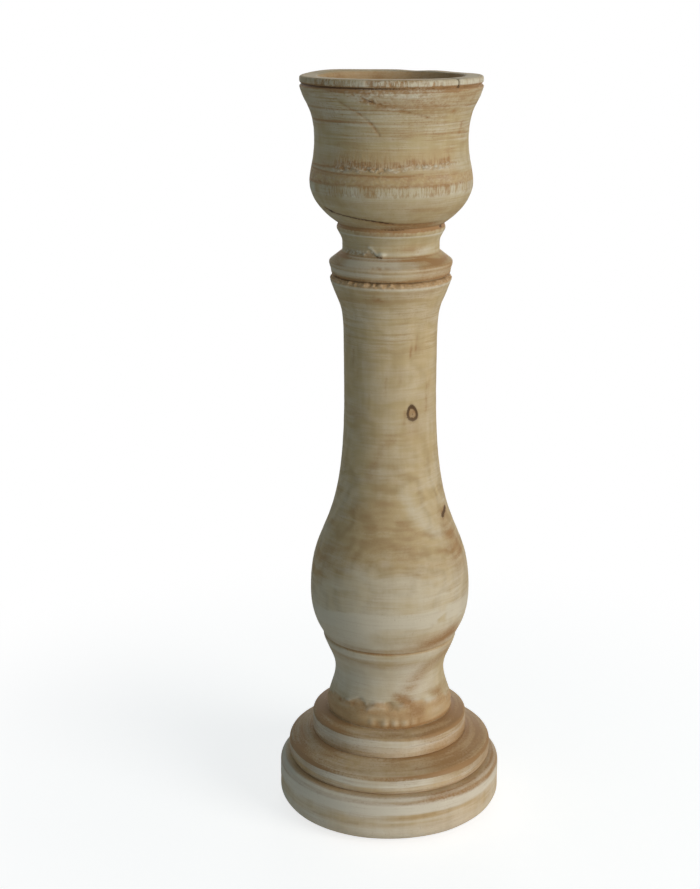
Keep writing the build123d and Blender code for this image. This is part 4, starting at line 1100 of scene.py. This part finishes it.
def pressed_felt():
    """Felt: clouds mix two browns, and matted wool and hairs lighten them."""
    f = Finish("pressed_felt", Specular_IOR_Level=0.1, Sheen_Weight=0.25, Sheen_Roughness=0.6)
    x, y, z = [p * 1000 for p in f.place()]
    mat = f.noise(x / 0.5, y / 0.5, z / 0.5, 4.0, 0.7)
    hairs = f.noise(x / 2.4, y / 0.25, z / 0.4, 2.0)
    cloud = f.noise(x / 14, y / 14, z / 14, 2.0)
    colour = f.mix(cloud.ease(0.3, 0.7), (0.050, 0.036, 0.026, 1), (0.036, 0.026, 0.019, 1))
    colour = f.mix((mat * f.tint("fuzz")).ease(0.2, 0.5) * 0.6, colour, (0.085, 0.064, 0.048, 1))
    f.feed("Base Color", f.mix(hairs.ease(0.58, 0.72) * 0.5, colour, (0.12, 0.095, 0.075, 1)))
    f.feed("Roughness", 0.86 + mat * 0.12)
    f.bump(mat * 0.6 + hairs * 0.4, 0.0006, 0.8)
    return f.material


felt_line = outline(
    (3.0, [(0, 0), (FELT_R - FELT_EDGE, 0)]),
    (0.3, [(FELT_R - FELT_EDGE, 0), (FELT_R, 0), (FELT_R, FELT_T), (FELT_R - FELT_EDGE, FELT_T)]),
    (3.0, [(FELT_R - FELT_EDGE, FELT_T), (0, FELT_T)]),
    wear=0.3,
)
felt = turned("felt", felt_line, felt_surface)
felt.data.materials.append(pressed_felt())
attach(felt, "stand")
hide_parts("felt_pad")


# Studio: a pale floor that keeps the stand's soft shadow and fades to white all round, and a
# surround that is white to the camera and in reflections, and lights the stand weakly and cool.
# A large soft lamp stands to the right, with weaker ones in front and behind.
FLOOR_WIDE = 3.0        # from the middle to each side, in metres
FLOOR_DROP = 0.0002     # keeps it just clear of the felt
FLOOR_LINES = 9         # of its grid, each way


def pale_floor():
    """Grey under the lamps, with a glow that the camera alone sees, mixed to plain white far off."""
    f = Finish("pale_floor", Roughness=0.9, Specular_IOR_Level=0.0)
    x, y, z = f.place()
    seen = f.add("LightPath", {}, {}, "Is Camera Ray")
    far = ((x * x + y * y) ** 0.5).ease(0.10, 0.40)
    f.feed("Base Color", f.mix(seen, (0.90, 0.90, 0.90, 1), (0.62, 0.62, 0.62, 1)))
    near_white = f.add("Emission", {}, {"Color": (1, 1, 1, 1), "Strength": seen * 0.74})
    white = f.add("Emission", {}, {"Color": (1, 1, 1, 1), "Strength": 1.0})
    lit = f.add("AddShader", {}, {0: Tone(f, f.shader.outputs[0]), 1: near_white})
    both = f.add("MixShader", {}, {0: far * seen, 1: lit, 2: white})
    f.tree.links.new(both.socket, f.tree.nodes["Material Output"].inputs["Surface"])
    return f.material


span = np.linspace(-FLOOR_WIDE, FLOOR_WIDE, FLOOR_LINES)
floor_x, floor_y = np.meshgrid(span, span)
floor_spots = np.stack([floor_x, floor_y, 0 * floor_x - FLOOR_DROP], -1).reshape(-1, 3)
cells = np.arange(FLOOR_LINES - 1)
corner = (cells[:, None] * FLOOR_LINES + cells).reshape(-1, 1)
around = [0, 1, FLOOR_LINES + 1, FLOOR_LINES]
floor_mesh = bpy.data.meshes.new("floor")
floor_mesh.from_pydata(floor_spots, [], (corner + around).tolist())
floor_mesh.materials.append(pale_floor())
floor = bpy.data.objects.new("floor", floor_mesh)
bpy.context.scene.collection.objects.link(floor)

world = bpy.data.worlds.new("studio")
world.use_nodes = True
bpy.context.scene.world = world
nodes, links = world.node_tree.nodes, world.node_tree.links
surround = nodes["Background"]
surround.inputs["Color"].default_value = (0.67, 0.90, 1.0, 1)
surround.inputs["Strength"].default_value = 0.17
white = nodes.new("ShaderNodeBackground")
white.inputs["Color"].default_value = (1, 1, 1, 1)
white.inputs["Strength"].default_value = 1.0
path = nodes.new("ShaderNodeLightPath")
seen = nodes.new("ShaderNodeMath")
seen.operation = "MAXIMUM"
links.new(path.outputs["Is Camera Ray"], seen.inputs[0])
links.new(path.outputs["Is Glossy Ray"], seen.inputs[1])
either = nodes.new("ShaderNodeMixShader")
links.new(seen.outputs[0], either.inputs[0])
links.new(surround.outputs[0], either.inputs[1])
links.new(white.outputs[0], either.inputs[2])
links.new(either.outputs[0], nodes["World Output"].inputs["Surface"])


def lamp(name, azimuth, elevation, distance, size, power, colour):
    """A square soft lamp, turned to the stand's middle from this side and height, in degrees."""
    data = bpy.data.lights.new(name, "AREA")
    data.shape, data.size, data.energy, data.color = "SQUARE", size, power, colour
    a, e = np.radians(azimuth), np.radians(elevation)
    towards = np.array([np.sin(a) * np.cos(e), -np.cos(a) * np.cos(e), np.sin(e)])
    obj = bpy.data.objects.new(name, data)
    obj.location = towards * distance + np.array([0, 0, 0.2])
    obj.rotation_euler = (np.pi / 2 - e, 0, a)
    bpy.context.scene.collection.objects.link(obj)


lamp("window", 54, 14, 3.0, 1.7, 57, (1.0, 0.965, 0.90))
lamp("front_fill", -4, 4, 3.0, 2.0, 7.5, (0.90, 0.97, 1.0))
lamp("back_fill", 176, 8, 3.0, 1.2, 15, (1.0, 0.95, 0.88))


# Camera: about 0.84 m in front of the stand and a little above its rim, looking down on it.
PICTURE_H = 889             # the picture's height in pixels
FOCAL_LENGTH = 1628.1       # in the same pixels
SIDE_SHIFT = -20.5          # of the picture's middle, in pixels
SENSOR_H = 36.0
CAMERA_PLACE = (0, -0.8376, 0.4483)
LOOK_DOWN = 16.10           # degrees
LOOK_LEFT = 0.72            # degrees

eye = bpy.data.cameras.new("camera")
eye.sensor_fit = "VERTICAL"
eye.sensor_height = SENSOR_H
eye.lens = SENSOR_H * FOCAL_LENGTH / PICTURE_H
eye.shift_x = SIDE_SHIFT / PICTURE_H
camera = bpy.data.objects.new("camera", eye)
camera.location = CAMERA_PLACE
camera.rotation_euler = (np.radians(90 - LOOK_DOWN), 0, np.radians(LOOK_LEFT))
bpy.context.scene.collection.objects.link(camera)
bpy.context.scene.camera = camera
bpy.context.scene.view_settings.view_transform = "Standard"
